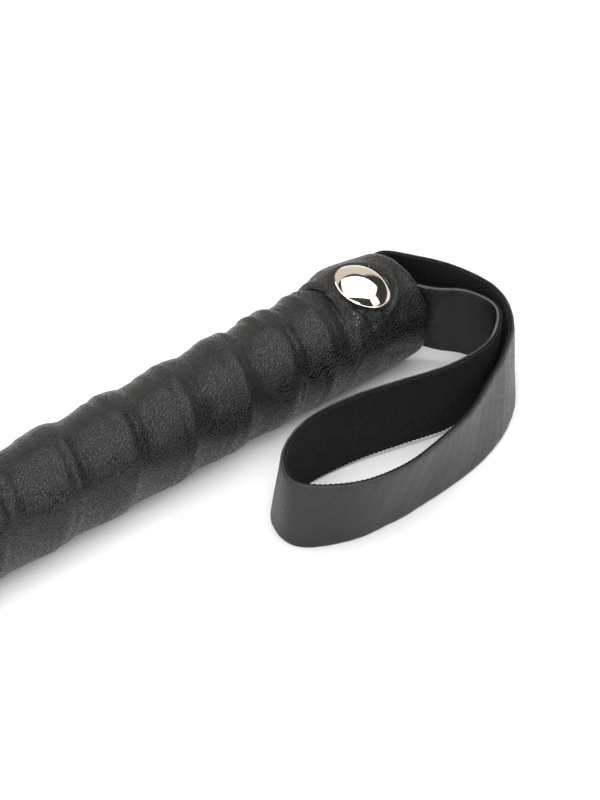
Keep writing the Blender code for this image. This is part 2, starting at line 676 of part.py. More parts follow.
def main():
    clear_scene()
    leather = material("black_leather", (0.012, 0.012, 0.013), 0.42)
    strap_leather = material("strap_leather", (0.014, 0.014, 0.015), 0.40)
    webbing = material("strap_backing", (0.010, 0.010, 0.011), 0.85)
    wood = material("beech", (0.46, 0.31, 0.18), 0.6)
    foam = material("foam", (0.05, 0.05, 0.05), 0.95)
    nickel = material("polished_nickel", (0.80, 0.78, 0.74), 0.10, 1.0)
    fibre = material("glass_fibre", (0.10, 0.10, 0.09), 0.35)
    braid = material("braided_cover", (0.015, 0.015, 0.016), 0.60)
    thread = material("black_thread", (0.012, 0.012, 0.012), 0.55)

    core = make_grip_core(wood)
    foam_front = GRIP_FRONT_X + FOAM_FRONT_INSET
    foam_sleeve = turned("grip_foam", [(FOAM_R[1], FOAM_END_X), (FOAM_R[1], foam_front),
                                       (FOAM_R[0], foam_front), (FOAM_R[0], FOAM_END_X)],
                         foam, 32, along_x())
    wrap = make_grip_wrap(leather)
    butt = make_butt_wrap(leather)
    make_rivet(nickel)
    strap = make_strap(strap_leather, webbing)
    make_shaft(fibre, braid)
    make_ferrule(leather, thread)
    make_bindings(thread)
    make_tip(leather, thread)

    post_hole = cutter_cylinder("post_hole", RIVET_POST_R + GAP, POST_HOLE_LOW, CUTTER_TOP, rivet_frame())
    back_pocket = cutter_cylinder("back_pocket", RIVET_BACK_R + GAP, -CUTTER_TOP, -CORE_R, rivet_frame())
    for piece in [core, foam_sleeve, wrap, butt] + [strap[k] for k in strap if k.startswith("tail")]:
        cut(piece, post_hole)
    for piece in (wrap, butt):
        cut(piece, back_pocket)
    cap_seat = cutter_cylinder("cap_seat", RIVET_CAP_R + GAP, RIVET_CAP_SEAT - GAP, CUTTER_TOP, rivet_frame())
    cut(butt, cap_seat)
    place_and_group()


main()
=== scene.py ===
import math

import bpy
import numpy as np
from mathutils import Matrix, Vector


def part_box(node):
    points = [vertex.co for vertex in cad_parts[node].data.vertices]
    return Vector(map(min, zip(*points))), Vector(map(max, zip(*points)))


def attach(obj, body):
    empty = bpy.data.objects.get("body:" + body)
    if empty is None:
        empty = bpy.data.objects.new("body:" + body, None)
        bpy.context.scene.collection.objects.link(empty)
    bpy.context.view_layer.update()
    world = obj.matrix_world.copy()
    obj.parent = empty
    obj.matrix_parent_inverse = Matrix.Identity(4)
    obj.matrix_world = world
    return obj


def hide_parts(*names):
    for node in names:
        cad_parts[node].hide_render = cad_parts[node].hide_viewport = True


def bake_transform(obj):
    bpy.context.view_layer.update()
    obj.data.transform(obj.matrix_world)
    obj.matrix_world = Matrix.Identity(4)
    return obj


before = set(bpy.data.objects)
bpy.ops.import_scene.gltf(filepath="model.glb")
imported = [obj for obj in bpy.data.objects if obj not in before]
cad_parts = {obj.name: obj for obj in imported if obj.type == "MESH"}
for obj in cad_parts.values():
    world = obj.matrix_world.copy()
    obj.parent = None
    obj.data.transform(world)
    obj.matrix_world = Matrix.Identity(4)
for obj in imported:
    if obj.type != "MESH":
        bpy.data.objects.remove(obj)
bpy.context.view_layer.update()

# ---- sizes and places in metres: those of the crop's CAD, and the finer ones that only the looks need ----
AXIS_Z = 0.0115                 # the grip's axis above the surface
GRIP_R = 0.0115
RIDGE_HEIGHT = 0.0010
LIP_SHARE = 0.24                # how much of a ridge's height its sharp lip takes
RIDGE_START = 0.0182
RIDGE_PITCHES = (0.0106, 0.0118, 0.0136, 0.0157, 0.0157, 0.0164, 0.0164, 0.0164, 0.0164, 0.0164, 0.0164)
PHASE = math.radians(46.6)      # where round the grip the spiral starts
GRIP_FRONT_X = -0.180
WRAP_BORE_R = 0.0099
WRAP_END_X = -0.0072
LAP_RUN = 0.003                 # length over which the wrap dives under the ferrule
UNDERLAP = 0.0008               # how far the wrap still shows its ridges under the butt wrap's edge
FERRULE_OVERLAP = 0.006
BUTT_LENGTH = 0.0209
BUTT_SLANT = 0.00265
BUTT_BORE_R = 0.0106
BUTT_BULGE = 0.0013
MOUTH_R = 0.0102
MOUTH_LIP = 0.00035             # half the thickness of the edge rolled in at the mouth
MOUTH_ROUNDING = 0.0021         # length over which the butt wrap rounds in to that edge

RIVET_X = -0.0137
RIVET_ROLL = math.radians(19)
RIVET_PITCH = math.radians(8)
CAP_R = 0.0062
CAP_SEAT = 0.0118
CAP_HEIGHT = 0.0030
CAP_BALL_R = 0.0081             # the dome is part of a ball of this radius
CAP_RIM = 0.00020               # from the cap's side in to the edge of the dome
CAP_HOLLOW = 0.0007             # the hollow for the post's head
POST_R = 0.0016

STRAP_WIDTH = 0.0157
LEATHER_OUT = 0.00070           # from the strap's middle to the leather's face
TEXTILE_OUT = 0.00060           # and to the textile's face
TEXTILE_RIBS = 27
RIB_DEPTH = 0.00013
LINK_PITCH = 0.0010             # length of one woven link along a rib
TAIL_OFFSET = 0.0008            # from the crop's axis to each clamped tail's middle
TAIL_START_X = -0.0265
TAIL_FLAT_X = -0.0078
TAIL_ROLL = 71.0                # degrees, from straight up towards +Y
MOUTH_JOIN = 0.0016             # from a tail's end to its neck
STRAP_ROUTE = (                 # x, y and height of the strap's middle; its upper edge's lean in degrees
    (0.0008, 0.0036, 0.0114, 10), (0.0049, 0.0074, 0.0102, 9), (0.0096, 0.0033, 0.0092, 3),
    (0.0132, -0.0050, 0.0090, 1), (0.0134, -0.0163, 0.0088, 2), (0.0081, -0.0264, 0.0085, -1),
    (-0.0006, -0.0338, 0.0083, -5), (-0.0107, -0.0390, 0.0083, -4), (-0.0214, -0.0427, 0.0081, 4),
    (-0.0324, -0.0445, 0.0080, 10), (-0.0436, -0.0451, 0.0078, 14), (-0.0546, -0.0431, 0.0079, 11),
    (-0.0626, -0.0360, 0.0079, 3), (-0.0577, -0.0265, 0.0080, -9), (-0.0466, -0.0230, 0.0081, -2),
    (-0.0350, -0.0239, 0.0084, -1), (-0.0238, -0.0268, 0.0086, -2), (-0.0129, -0.0295, 0.0086, -3),
    (-0.0017, -0.0289, 0.0089, -5), (0.0076, -0.0230, 0.0098, 0), (0.0075, -0.0147, 0.0103, 1),
    (0.0037, -0.0096, 0.0106, 5), (0.0008, -0.0050, 0.0112, 7))
NECK_OUTER_END = 3              # the route's point where the outer neck meets the loop
NECK_INNER_START = 19           # the route's point where the loop meets the inner neck
ROUTE_STEPS = 40
STRAP_STEP = 0.0003             # spacing of the strap's cross-sections
STRAP_EASE = 6                  # cross-sections to each side over which the route is eased

ROD_BUTT_X, ROD_TIP_X = -0.034, -0.521
ROD_BUTT_R, ROD_TIP_R = 0.0025, 0.0014
BRAID_OUT = 0.0009              # from the rod's face to the braid's face
BRAID_STRANDS = 12
BRAID_LAY = 0.017               # length in which a strand goes once round
YARN_HALF = 0.00036             # from a yarn's middle to the braid's face, both yarns crossing
FERRULE_FRONT_X = -0.190
FERRULE_SEAM = 2.2              # the seam's angle from straight up towards -Y, in radians
WHIPPING_LENGTH, WHIPPING_TURNS, WHIPPING_CORD_R = 0.009, 9, 0.0005
TIP_BINDING_X = -0.508
BINDING_TURNS, BINDING_CORD_R = 12, 0.00056
BINDING_R, BINDING_SQUEEZE = 0.0070, 0.74
TIP_HINGE_X = -0.522
TIP_END_X = -0.594
TIP_WIDTH, TIP_ROOT_WIDTH = 0.026, 0.009
TIP_LEATHER = 0.0014
TIP_WIDEN_RUN, TIP_CLOSE_RUN = 0.022, 0.018
TIP_SPREAD = 0.0017             # from the rod's axis to a layer's inner face, under the binding
TIP_BEVEL = 0.0003
GAP = 0.0003
FLOOR_CLEARANCE = 0.00002
STITCH_LINE_Y = 0.0105
STITCH_END_X = TIP_END_X + 0.004
STITCH_START_X = TIP_HINGE_X - TIP_WIDEN_RUN - 0.002
STITCH_PITCH, STITCH_R, STITCH_POINTS = 0.0030, 0.00027, 14
GROOVE_DEPTH = 0.00050

rod_low, rod_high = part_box("shaft_rod")
SHIFT = Vector((rod_high[0] - ROD_BUTT_X, (rod_low[1] + rod_high[1]) / 2, 0.0))


# ---- small tools ----
def smooth(t):
    t = np.clip(t, 0.0, 1.0)
    return t * t * (3 - 2 * t)


def whole_turn(count):
    """Evenly spaced angles once round, as a row."""
    return np.linspace(0, 2 * math.pi, count, endpoint=False)[None, :]


def waves(seed, count, *places):
    """Sum of sines of mixed direction; a smooth irregular field of about unit height."""
    rng = np.random.default_rng(seed)
    total = 0.0
    for _ in range(count):
        turn = rng.uniform(0, 2 * math.pi)
        total = total + np.sin(sum(p * rng.normal() for p in places) + turn)
    return total / math.sqrt(count)


def grid_object(name, points, mats, u=None, v=None, loop=False, pick=None, wear=None, caps=True,
                normals=None):
    """A mesh from a grid of points: each row is a closed ring, and loop joins the last row to the first.

    u and v are the rows' and the ring's texture coordinates; pick is the material of each strip of faces.
    """
    rows, cols = points.shape[:2]
    i, j = np.meshgrid(np.arange(rows if loop else rows - 1), np.arange(cols), indexing="ij")
    i, j = i.ravel(), j.ravel()
    i2, j2 = (i + 1) % rows, (j + 1) % cols
    quads = np.stack([i * cols + j, i * cols + j2, i2 * cols + j2, i2 * cols + j], -1)
    faces = quads.tolist()
    if caps and not loop:
        faces += [list(range(cols))[::-1], list(range((rows - 1) * cols, rows * cols))]
    mesh = bpy.data.meshes.new(name)
    mesh.from_pydata(points.reshape(-1, 3).tolist(), [], faces)
    for mat in mats:
        mesh.materials.append(mat)
    if pick is not None:
        index = np.zeros(len(faces), np.int32)
        index[:len(quads)] = pick[j]
        mesh.polygons.foreach_set("material_index", index)
    if u is not None:
        layer = mesh.uv_layers.new(name="UVMap")
        across = np.stack([v[j], v[j + 1], v[j + 1], v[j]], -1)
        along = np.stack([u[i], u[i], u[i2], u[i2]], -1)
        flat = np.zeros((len(mesh.loops), 2), np.float32)
        flat[:4 * len(quads)] = np.stack([along, across], -1).reshape(-1, 2)
        layer.data.foreach_set("uv", flat.ravel())
    if wear is not None:
        layer = mesh.attributes.new("wear", "FLOAT", "POINT")
        layer.data.foreach_set("value", np.asarray(wear, np.float32).ravel())
    mesh.shade_smooth()
    mesh.update()
    if normals is not None:
        mesh.normals_split_custom_set_from_vertices(normals.reshape(-1, 3).tolist())
    obj = bpy.data.objects.new(name, mesh)
    bpy.context.scene.collection.objects.link(obj)
    return obj


def around(x, radius, angle):
    """Points at a radius and an angle (from straight up towards -Y) about the crop's axis."""
    return np.stack([x + SHIFT.x, SHIFT.y - radius * np.sin(angle), AXIS_Z + radius * np.cos(angle)], -1)


def grid_normals(points):
    along = np.gradient(points, axis=0)
    across = np.roll(points, -1, 1) - np.roll(points, 1, 1)
    normal = np.cross(across, along)
    return normal / np.maximum(np.linalg.norm(normal, axis=-1, keepdims=True), 1e-12)


def placed(local, matrix):
    """Points carried through a 4 x 4 matrix."""
    m = np.array(matrix)
    return local @ m[:3, :3].T + m[:3, 3]


def from_axis(path):
    """From the crop's axis out to each point of a path round it."""
    x = path[:, 0]
    return path - np.stack([x, 0 * x + SHIFT.y, 0 * x + AXIS_Z], -1)


def run_length(points):
    """Distance from the first point to each point."""
    return np.concatenate([[0], np.cumsum(np.linalg.norm(np.diff(points, axis=0), axis=1))])


# ---- material nodes ----
def add_node(tree, kind, inputs=None, **settings):
    """A shader node whose inputs are linked or set."""
    node = tree.nodes.new("ShaderNode" + kind)
    for key, value in settings.items():
        setattr(node, key, value)
    for key, value in (inputs or {}).items():
        if isinstance(value, bpy.types.NodeSocket):
            tree.links.new(value, node.inputs[key])
        else:
            node.inputs[key].default_value = value
    return node


class Finish:
    """A procedural material, built node by node on a Principled shader."""

    def __init__(self, name, **sockets):
        self.material = bpy.data.materials.new(name)
        self.material.use_nodes = True
        self.tree = self.material.node_tree
        self.shader = self.tree.nodes["Principled BSDF"]
        for key, value in sockets.items():
            self.shader.inputs[key.replace("_", " ")].default_value = value

    def add(self, kind, inputs=None, **settings):
        return add_node(self.tree, kind, inputs, **settings)

    def coords(self, kind="Object", scale=(1, 1, 1), turn=0.0):
        place = self.add("TexCoord").outputs[kind]
        return self.add("Mapping", {"Vector": place, "Scale": scale, "Rotation": (0, 0, turn)}).outputs[0]

    def noise(self, vector, scale, detail=3.0, rough=0.55):
        return self.add("TexNoise", {"Vector": vector, "Scale": scale, "Detail": detail,
                                     "Roughness": rough}).outputs[0]

    def span(self, value, low, high, out_low, out_high):
        inputs = {0: value, 1: low, 2: high, 3: out_low, 4: out_high}
        return self.add("MapRange", inputs, interpolation_type="SMOOTHSTEP").outputs[0]

    def maths(self, operation, a, b=0.0):
        return self.add("Math", {0: a, 1: b}, operation=operation).outputs[0]

    def mix(self, factor, a, b):
        colours = {6: (*a, 1.0) if isinstance(a, tuple) else a, 7: (*b, 1.0) if isinstance(b, tuple) else b}
        return self.add("Mix", {0: factor, **colours}, data_type="RGBA").outputs[2]

    def warp(self, vector, scale, amount):
        """The coordinates pushed about by noise, so that a pattern loses its regularity."""
        push = self.add("TexNoise", {"Vector": vector, "Scale": scale, "Detail": 2.0}).outputs[1]
        push = self.add("VectorMath", {0: push, 1: (0.5, 0.5, 0.5)}, operation="SUBTRACT").outputs[0]
        push = self.add("VectorMath", {0: push, "Scale": amount}, operation="SCALE").outputs[0]
        return self.add("VectorMath", {0: vector, 1: push}, operation="ADD").outputs[0]

    def cells(self, vector, scale):
        """Distance to the nearest cell's edge."""
        inputs = {"Vector": vector, "Scale": scale}
        return self.add("TexVoronoi", inputs, feature="DISTANCE_TO_EDGE").outputs[0]

    def wave(self, vector, period, distortion=0.0):
        return self.add("TexWave", {"Vector": vector, "Scale": math.pi / 10 / period,
                                    "Distortion": distortion}).outputs["Fac"]

    def finish(self, colour, rough, height=None, depth=0.0, strength=0.0):
        self.tree.links.new(colour, self.shader.inputs["Base Color"])
        self.tree.links.new(rough, self.shader.inputs["Roughness"])
        if height is not None:
            bump = self.add("Bump", {"Height": height, "Distance": depth, "Strength": strength})
            self.tree.links.new(bump.outputs[0], self.shader.inputs["Normal"])
        return self.material


def leather_finish(name, grain, dark, light, rough, depth, kind="Object", stretch=(1, 1, 1), strength=0.9):
    """Pebbled coated leather: raised cells with valleys darkened by painted shade, fine pores, and slow
    changes of gloss.

    grain is the size of a cell. dark and light are the colours of valley and cell, the valley's darker
    colour being painted shade in the grain's creases, and rough is the roughness of cell and valley.
    """
    f = Finish(name, IOR=1.50)
    base = f.coords(kind, stretch)
    place = f.warp(base, 0.9 / grain, grain * 0.55)
    edge = f.cells(place, 1 / grain)
    pebble = f.span(edge, 0.0, 0.20, 0.0, 1.0)
    small = f.noise(place, 3.2 / grain, 3.0, 0.6)
    slow = f.noise(base, 0.035 / grain, 3.0, 0.5)
    centre = f.add("TexVoronoi", {"Vector": place, "Scale": 1 / grain}).outputs[0]
    dome = f.span(centre, 0.05, 0.80, 1.0, 0.0)
    height = f.maths("ADD", f.maths("MULTIPLY", pebble, 0.85), f.maths("MULTIPLY", dome, 0.18))
    height = f.maths("ADD", height, f.maths("MULTIPLY", small, 0.12))
    # the valleys take the darker colour: painted shade in the grain's creases
    tone = f.mix(f.maths("MULTIPLY", pebble, f.span(slow, 0.3, 0.7, 0.55, 1.0)), dark, light)
    wear = f.add("Attribute", attribute_name="wear").outputs[2]
    scuff = f.maths("MULTIPLY", wear, f.span(f.noise(base, 0.25 / grain, 4.0), 0.35, 0.7, 0.25, 1.0))
    tone = f.mix(scuff, tone, (0.035, 0.035, 0.037))
    gloss = f.span(pebble, 0.0, 1.0, rough[1], rough[0])
    gloss = f.maths("ADD", gloss, f.span(slow, 0.3, 0.7, -0.04, 0.05))
    gloss = f.maths("ADD", gloss, f.maths("MULTIPLY", small, 0.04))
    return f.finish(tone, gloss, height, depth, strength)


def cut_edge_finish():
    f = Finish("strap_cut_edge", Specular_IOR_Level=0.35)
    base = f.coords("UV")
    fibre = f.noise(base, 5200.0, 4.0, 0.7)
    patch = f.noise(base, 420.0, 3.0)
    tone = f.mix(f.span(patch, 0.3, 0.7, 0.0, 1.0), (0.012, 0.010, 0.009), (0.030, 0.026, 0.023))
    wear = f.add("Attribute", attribute_name="wear").outputs[2]
    tone = f.mix(wear, tone, (0.10, 0.092, 0.085))
    tone = f.mix(f.span(fibre, 0.45, 0.8, 0.0, 0.35), tone, (0.20, 0.18, 0.16))
    return f.finish(tone, f.span(fibre, 0.2, 0.8, 0.55, 0.85), fibre, 0.00012, 0.7)


def textile_finish():
    """Woven backing: rows of little links parallel to the strap's edge, in black yarn."""
    f = Finish("strap_backing", Sheen_Weight=0.03, Sheen_Roughness=0.5, Specular_IOR_Level=0.25)
    base = f.coords("UV")
    links = f.wave(f.warp(base, 900.0, 0.0001), 0.00062)
    diagonal = f.wave(f.coords("UV", (1, 1, 1), math.radians(38)), 0.00046)
    yarn = f.noise(base, 7000.0, 3.0, 0.7)
    patch = f.noise(base, 160.0, 3.0)
    height = f.maths("ADD", f.maths("MULTIPLY", links, 0.5), f.maths("MULTIPLY", diagonal, 0.5))
    height = f.maths("ADD", height, f.maths("MULTIPLY", yarn, 0.35))
    tone = f.mix(f.span(height, 0.35, 1.15, 0.0, 1.0), (0.0005, 0.0005, 0.0006), (0.0055, 0.0055, 0.0062))
    tone = f.mix(f.span(patch, 0.55, 0.8, 0.0, 0.35), tone, (0.007, 0.007, 0.008))
    return f.finish(tone, f.span(yarn, 0.2, 0.8, 0.72, 0.95), height, 0.00016, 0.8)


def nickel_finish():
    f = Finish("polished_nickel", Metallic=1.0)
    base = f.coords("Object")
    smear = f.noise(base, 260.0, 4.0, 0.6)
    hair = f.noise(f.coords("Object", (1, 14, 1), 0.5), 900.0, 2.0)
    tone = f.mix(f.span(smear, 0.3, 0.75, 0.0, 1.0), (0.83, 0.755, 0.67), (0.88, 0.83, 0.76))
    rough = f.maths("ADD", f.span(smear, 0.35, 0.8, 0.035, 0.10), f.span(hair, 0.62, 0.75, 0.0, 0.05))
    return f.finish(tone, rough, f.maths("ADD", smear, f.maths("MULTIPLY", hair, 0.3)), 0.00001, 0.25)


def thread_finish(name):
    f = Finish(name, Sheen_Weight=0.04, Specular_IOR_Level=0.40)
    base = f.coords("UV")
    fibre = f.noise(f.coords("UV", (0.25, 1, 1), 0.6), 9000.0, 3.0, 0.65)
    patch = f.noise(base, 300.0, 2.0)
    tone = f.mix(f.span(fibre, 0.3, 0.75, 0.0, 1.0), (0.002, 0.002, 0.0025), (0.016, 0.0155, 0.0165))
    tone = f.mix(f.span(patch, 0.5, 0.8, 0.0, 0.5), tone, (0.022, 0.0215, 0.0225))
    return f.finish(tone, f.span(fibre, 0.2, 0.8, 0.42, 0.68), fibre, 0.00006, 0.6)


def wood_finish():
    f = Finish("beech", Specular_IOR_Level=0.4)
    base = f.coords("Object", (0.12, 1, 1))
    rings = f.wave(f.warp(base, 160.0, 0.002), 0.0016, 1.2)
    pores = f.noise(f.coords("Object", (0.05, 1, 1)), 6500.0, 3.0, 0.7)
    patch = f.noise(base, 120.0, 3.0)
    tone = f.mix(rings, (0.36, 0.22, 0.12), (0.56, 0.39, 0.24))
    tone = f.mix(f.span(pores, 0.55, 0.72, 0.0, 0.6), tone, (0.20, 0.11, 0.06))
    tone = f.mix(f.span(patch, 0.4, 0.8, 0.0, 0.35), tone, (0.48, 0.30, 0.16))
    return f.finish(tone, f.span(pores, 0.3, 0.7, 0.5, 0.72), pores, 0.00008, 0.5)


def foam_finish():
    f = Finish("foam", Specular_IOR_Level=0.2)
    base = f.coords("Object")
    cells = f.cells(f.warp(base, 1200.0, 0.0002), 2400.0)
    wall = f.span(cells, 0.0, 0.22, 1.0, 0.0)
    patch = f.noise(base, 300.0, 3.0)
    tone = f.mix(wall, (0.012, 0.012, 0.013), (0.060, 0.060, 0.063))
    tone = f.mix(f.span(patch, 0.4, 0.8, 0.0, 0.5), tone, (0.035, 0.035, 0.037))
    return f.finish(tone, f.span(wall, 0.0, 1.0, 0.98, 0.85), wall, 0.00015, 0.8)


def fibre_finish():
    f = Finish("glass_fibre", Coat_Weight=0.25, Coat_Roughness=0.2)
    streak = f.noise(f.coords("Object", (0.02, 1, 1)), 7000.0, 3.0, 0.6)
    patch = f.noise(f.coords("Object", (0.3, 1, 1)), 500.0, 3.0)
    tone = f.mix(f.span(streak, 0.3, 0.7, 0.0, 1.0), (0.055, 0.056, 0.048), (0.15, 0.15, 0.13))
    tone = f.mix(f.span(patch, 0.5, 0.8, 0.0, 0.4), tone, (0.11, 0.11, 0.09))
    return f.finish(tone, f.span(streak, 0.2, 0.8, 0.3, 0.5), streak, 0.00004, 0.4)


def floor_finish():
    f = Finish("table_top", Specular_IOR_Level=0.4)
    base = f.coords("Object")
    slow = f.noise(base, 6.0, 3.0)
    tone = f.mix(f.span(slow, 0.3, 0.7, 0.0, 1.0), (0.905, 0.905, 0.91), (0.93, 0.93, 0.93))
    return f.finish(tone, f.span(slow, 0.2, 0.8, 0.30, 0.36))


grip_leather = leather_finish("black_leather", 0.00062, (0.0002, 0.0002, 0.0003), (0.0040, 0.0040, 0.0047),
                              (0.21, 0.62), stretch=(1.35, 0.78, 0.78), depth=0.00009)
strap_leather = leather_finish("strap_leather", 0.00050, (0.0004, 0.0004, 0.0005), (0.0040, 0.0040, 0.0045),
                               (0.30, 0.44), kind="UV", depth=0.00007, strength=0.8)
tip_leather = leather_finish("tip_leather", 0.00085, (0.0015, 0.0015, 0.0018), (0.0085, 0.0085, 0.0092),
                             (0.40, 0.55), kind="UV", depth=0.00006)
cut_edge = cut_edge_finish()
textile = textile_finish()
nickel = nickel_finish()
thread = thread_finish("black_thread")
braid_yarn = thread_finish("braided_cover")
wood = wood_finish()
foam = foam_finish()
glass_fibre = fibre_finish()


# ---- grip: the spiral wrap ----
def ridge_turns(x):
    edges = RIDGE_START + np.concatenate(([0.0], np.cumsum(RIDGE_PITCHES)))
    edges = np.concatenate(([RIDGE_START - 2 * RIDGE_PITCHES[0], RIDGE_START - RIDGE_PITCHES[0]], edges))
    return np.interp(-x, edges, np.arange(len(edges)) - 2.0)


def butt_front_x(angle):
    return -BUTT_LENGTH + BUTT_SLANT * np.cos(angle + PHASE) + 0.00025 * waves(21, 4, angle * 2)


def wrap_shape(x, angle):
    """Radius of the wrap, and how worn it is: each turn laps over the one nearer the butt.

    u runs from 0 to 1 over one turn, which rises to a soft ridge and falls away to the next lap. Only the
    +Y side has a sharp lip there. The ridges are highest on top.
    """
    turn = ridge_turns(x) - (angle + PHASE) / (2 * math.pi)
    spiral = turn * 2 * math.pi
    turn = turn + 0.022 * waves(3, 5, spiral * 1.7)
    u = turn % 1.0
    far = smooth(0.5 + 1.1 * np.cos(angle + math.radians(80)))
    upper = smooth(0.55 + 0.75 * np.cos(angle - math.radians(20)))
    lip = LIP_SHARE * far * smooth(u / 0.020)
    roll = smooth(u / (0.27 + 0.17 * (1 - far)))
    fall = 0.5 + 0.5 * np.cos(math.pi * np.clip((u - 0.30) / 0.70, 0, 1) ** 0.9)
    crest = (lip + (1 - LIP_SHARE * far) * roll) * fall
    lumps = 1.0 + 0.24 * waves(5, 6, spiral * 2.4)
    depth = RIDGE_HEIGHT * (0.50 + 0.58 * upper)
    radius = GRIP_R - depth * (1 - np.clip(crest * lumps, 0, 1.04))
    radius = radius + 0.00009 * waves(9, 8, x * 300, np.sin(angle) * 3.0, np.cos(angle) * 3.0)
    beside = smooth((x - butt_front_x(angle) + 0.005) / 0.005) * smooth(0.9 - np.cos(angle))
    radius = radius + (GRIP_R - 0.0002 - radius) * 0.75 * beside
    wrinkle = np.exp(-((u - 0.985) / 0.018) ** 2)
    radius = radius - 0.00009 * far * wrinkle * (1 + 0.8 * waves(13, 5, spiral * 6.0, u * 30))
    front_lap = (butt_front_x(angle) - x + UNDERLAP) / 0.0006
    ferrule_lap = (x - GRIP_FRONT_X - FERRULE_OVERLAP) / LAP_RUN
    lap = smooth(np.minimum(front_lap, ferrule_lap))
    radius = (BUTT_BORE_R - GAP) * (1 - lap) + radius * lap
    wear = (0.5 * far * np.exp(-((u - 0.02) / 0.02) ** 2) + 0.06 * crest) * lap
    return radius, wear


def make_grip_wrap():
    rows, cols = 500, 280
    x = np.linspace(GRIP_FRONT_X, WRAP_END_X, rows)[:, None]
    angle = whole_turn(cols)
    radius, wear = wrap_shape(x + 0 * angle, angle + 0 * x)
    outer = around(x + 0 * angle, radius, angle + 0 * x)
    outer[..., 2] = np.maximum(outer[..., 2], FLOOR_CLEARANCE)
    inside = np.array([WRAP_END_X, GRIP_FRONT_X])[:, None] + 0 * angle
    inner = around(inside, WRAP_BORE_R + 0 * inside, angle + 0 * inside)
    points = np.concatenate([outer, inner])
    obj = grid_object("grip_wrap_leather", points, [grip_leather], loop=True,
                      wear=np.concatenate([wear, 0 * inside]))
    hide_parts("grip_wrap")
    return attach(obj, "handle")


# ---- grip: the butt wrap round the mouth ----
def rivet_matrix():
    roll = Matrix.Rotation(RIVET_ROLL, 4, "X")
    pitch = Matrix.Rotation(RIVET_PITCH, 4, "Y")
    return Matrix.Translation(SHIFT + Vector((RIVET_X, 0, AXIS_Z))) @ roll @ pitch


FOLDS = (                       # from x, angle to x, angle, with angles in degrees; half-width; height
    (-0.0190, -6, -0.0186, 36, 0.00070, 0.00020), (-0.0186, 34, -0.0166, 68, 0.00075, 0.00042),
    (-0.0158, 44, -0.0153, 60, 0.00075, -0.00036), (-0.0134, 50, -0.0126, 66, 0.00095, 0.00026),
    (-0.0200, 56, -0.0180, 78, 0.00080, -0.00020), (-0.0202, 84, -0.0222, 102, 0.00060, -0.00026),
    (-0.0220, 78, -0.0208, 96, 0.00080, 0.00022), (-0.0176, -34, -0.0080, -30, 0.00090, -0.00012),
    (-0.0120, 96, -0.0040, 112, 0.00090, -0.00016), (-0.0090, 60, -0.0030, 66, 0.00080, -0.00012),
    (-0.0180, -70, -0.0090, -88, 0.00090, 0.00018), (-0.0160, 168, -0.0060, 176, 0.00080, -0.00014))


def fold_height(x, angle):
    """Small pulled folds of the butt wrap, each along a short line on its surface."""
    total = 0.0
    s = ((angle + math.pi) % (2 * math.pi) - math.pi) * GRIP_R
    for x1, a1, x2, a2, half, height in FOLDS:
        start = np.array([x1, math.radians(a1) * GRIP_R])
        line = np.array([x2, math.radians(a2) * GRIP_R]) - start
        t = ((x - start[0]) * line[0] + (s - start[1]) * line[1]) / (line @ line)
        off = np.hypot(x - start[0] - t * line[0], s - start[1] - t * line[1])
        ends = smooth((t + 0.25) / 0.4) * smooth((1.25 - t) / 0.4)
        total = total + height * ends * np.exp(-(off / half) ** 2)
    return total


def butt_shape(t, angle):
    """The butt wrap's outside: t runs from its front edge to the mouth. It laps over the grip's wrap."""
    front = butt_front_x(angle)
    x = front * (1 - t)
    upper = np.maximum(0.0, np.cos(angle + math.radians(10))) ** 0.8
    swell = np.sin(math.pi * np.minimum(1.0, 0.25 + 0.80 * t)) ** 1.5 * (0.05 + 0.95 * smooth(t / 0.32))
    radius = GRIP_R + BUTT_BULGE * upper * swell
    soft_side = smooth(1.35 * np.cos((angle - math.radians(72)) * 0.9))
    lap = smooth((x - front) / (0.0008 + 0.0020 * soft_side))
    under = wrap_shape(front - UNDERLAP, angle)[0] - 0.00004
    radius = under * (1 - lap) + radius * lap
    low_side = smooth((np.cos(angle) + 0.92) / 0.3)
    radius = radius + fold_height(x, angle) * smooth((x - front) / 0.0016) * low_side
    radius = radius + 0.00012 * waves(23, 6, x * 420, np.sin(angle) * 4, np.cos(angle) * 4) * lap * low_side
    return x, radius, lap


def pressed_by_cap(points):
    """The leather pressed down flat under the rivet's cap, and puckered up a little round it."""
    local = placed(points, rivet_matrix().inverted())
    off = np.hypot(local[..., 0], local[..., 1])
    on_top = local[..., 2] > 0.008
    sunk = np.minimum(local[..., 2], CAP_SEAT - 0.00035)
    inside = 1 - smooth((off - CAP_R - 0.0001) / 0.0011)
    pucker = 0.00022 * np.exp(-((off - CAP_R - 0.0012) / 0.0008) ** 2)
    pucker = pucker * (1 + 0.5 * np.sin(5 * np.arctan2(local[..., 1], local[..., 0]) + 1.0))
    raised = local[..., 2] + pucker
    local[..., 2] = np.where(on_top, raised * (1 - inside) + sunk * inside, local[..., 2])
    return placed(local, rivet_matrix())


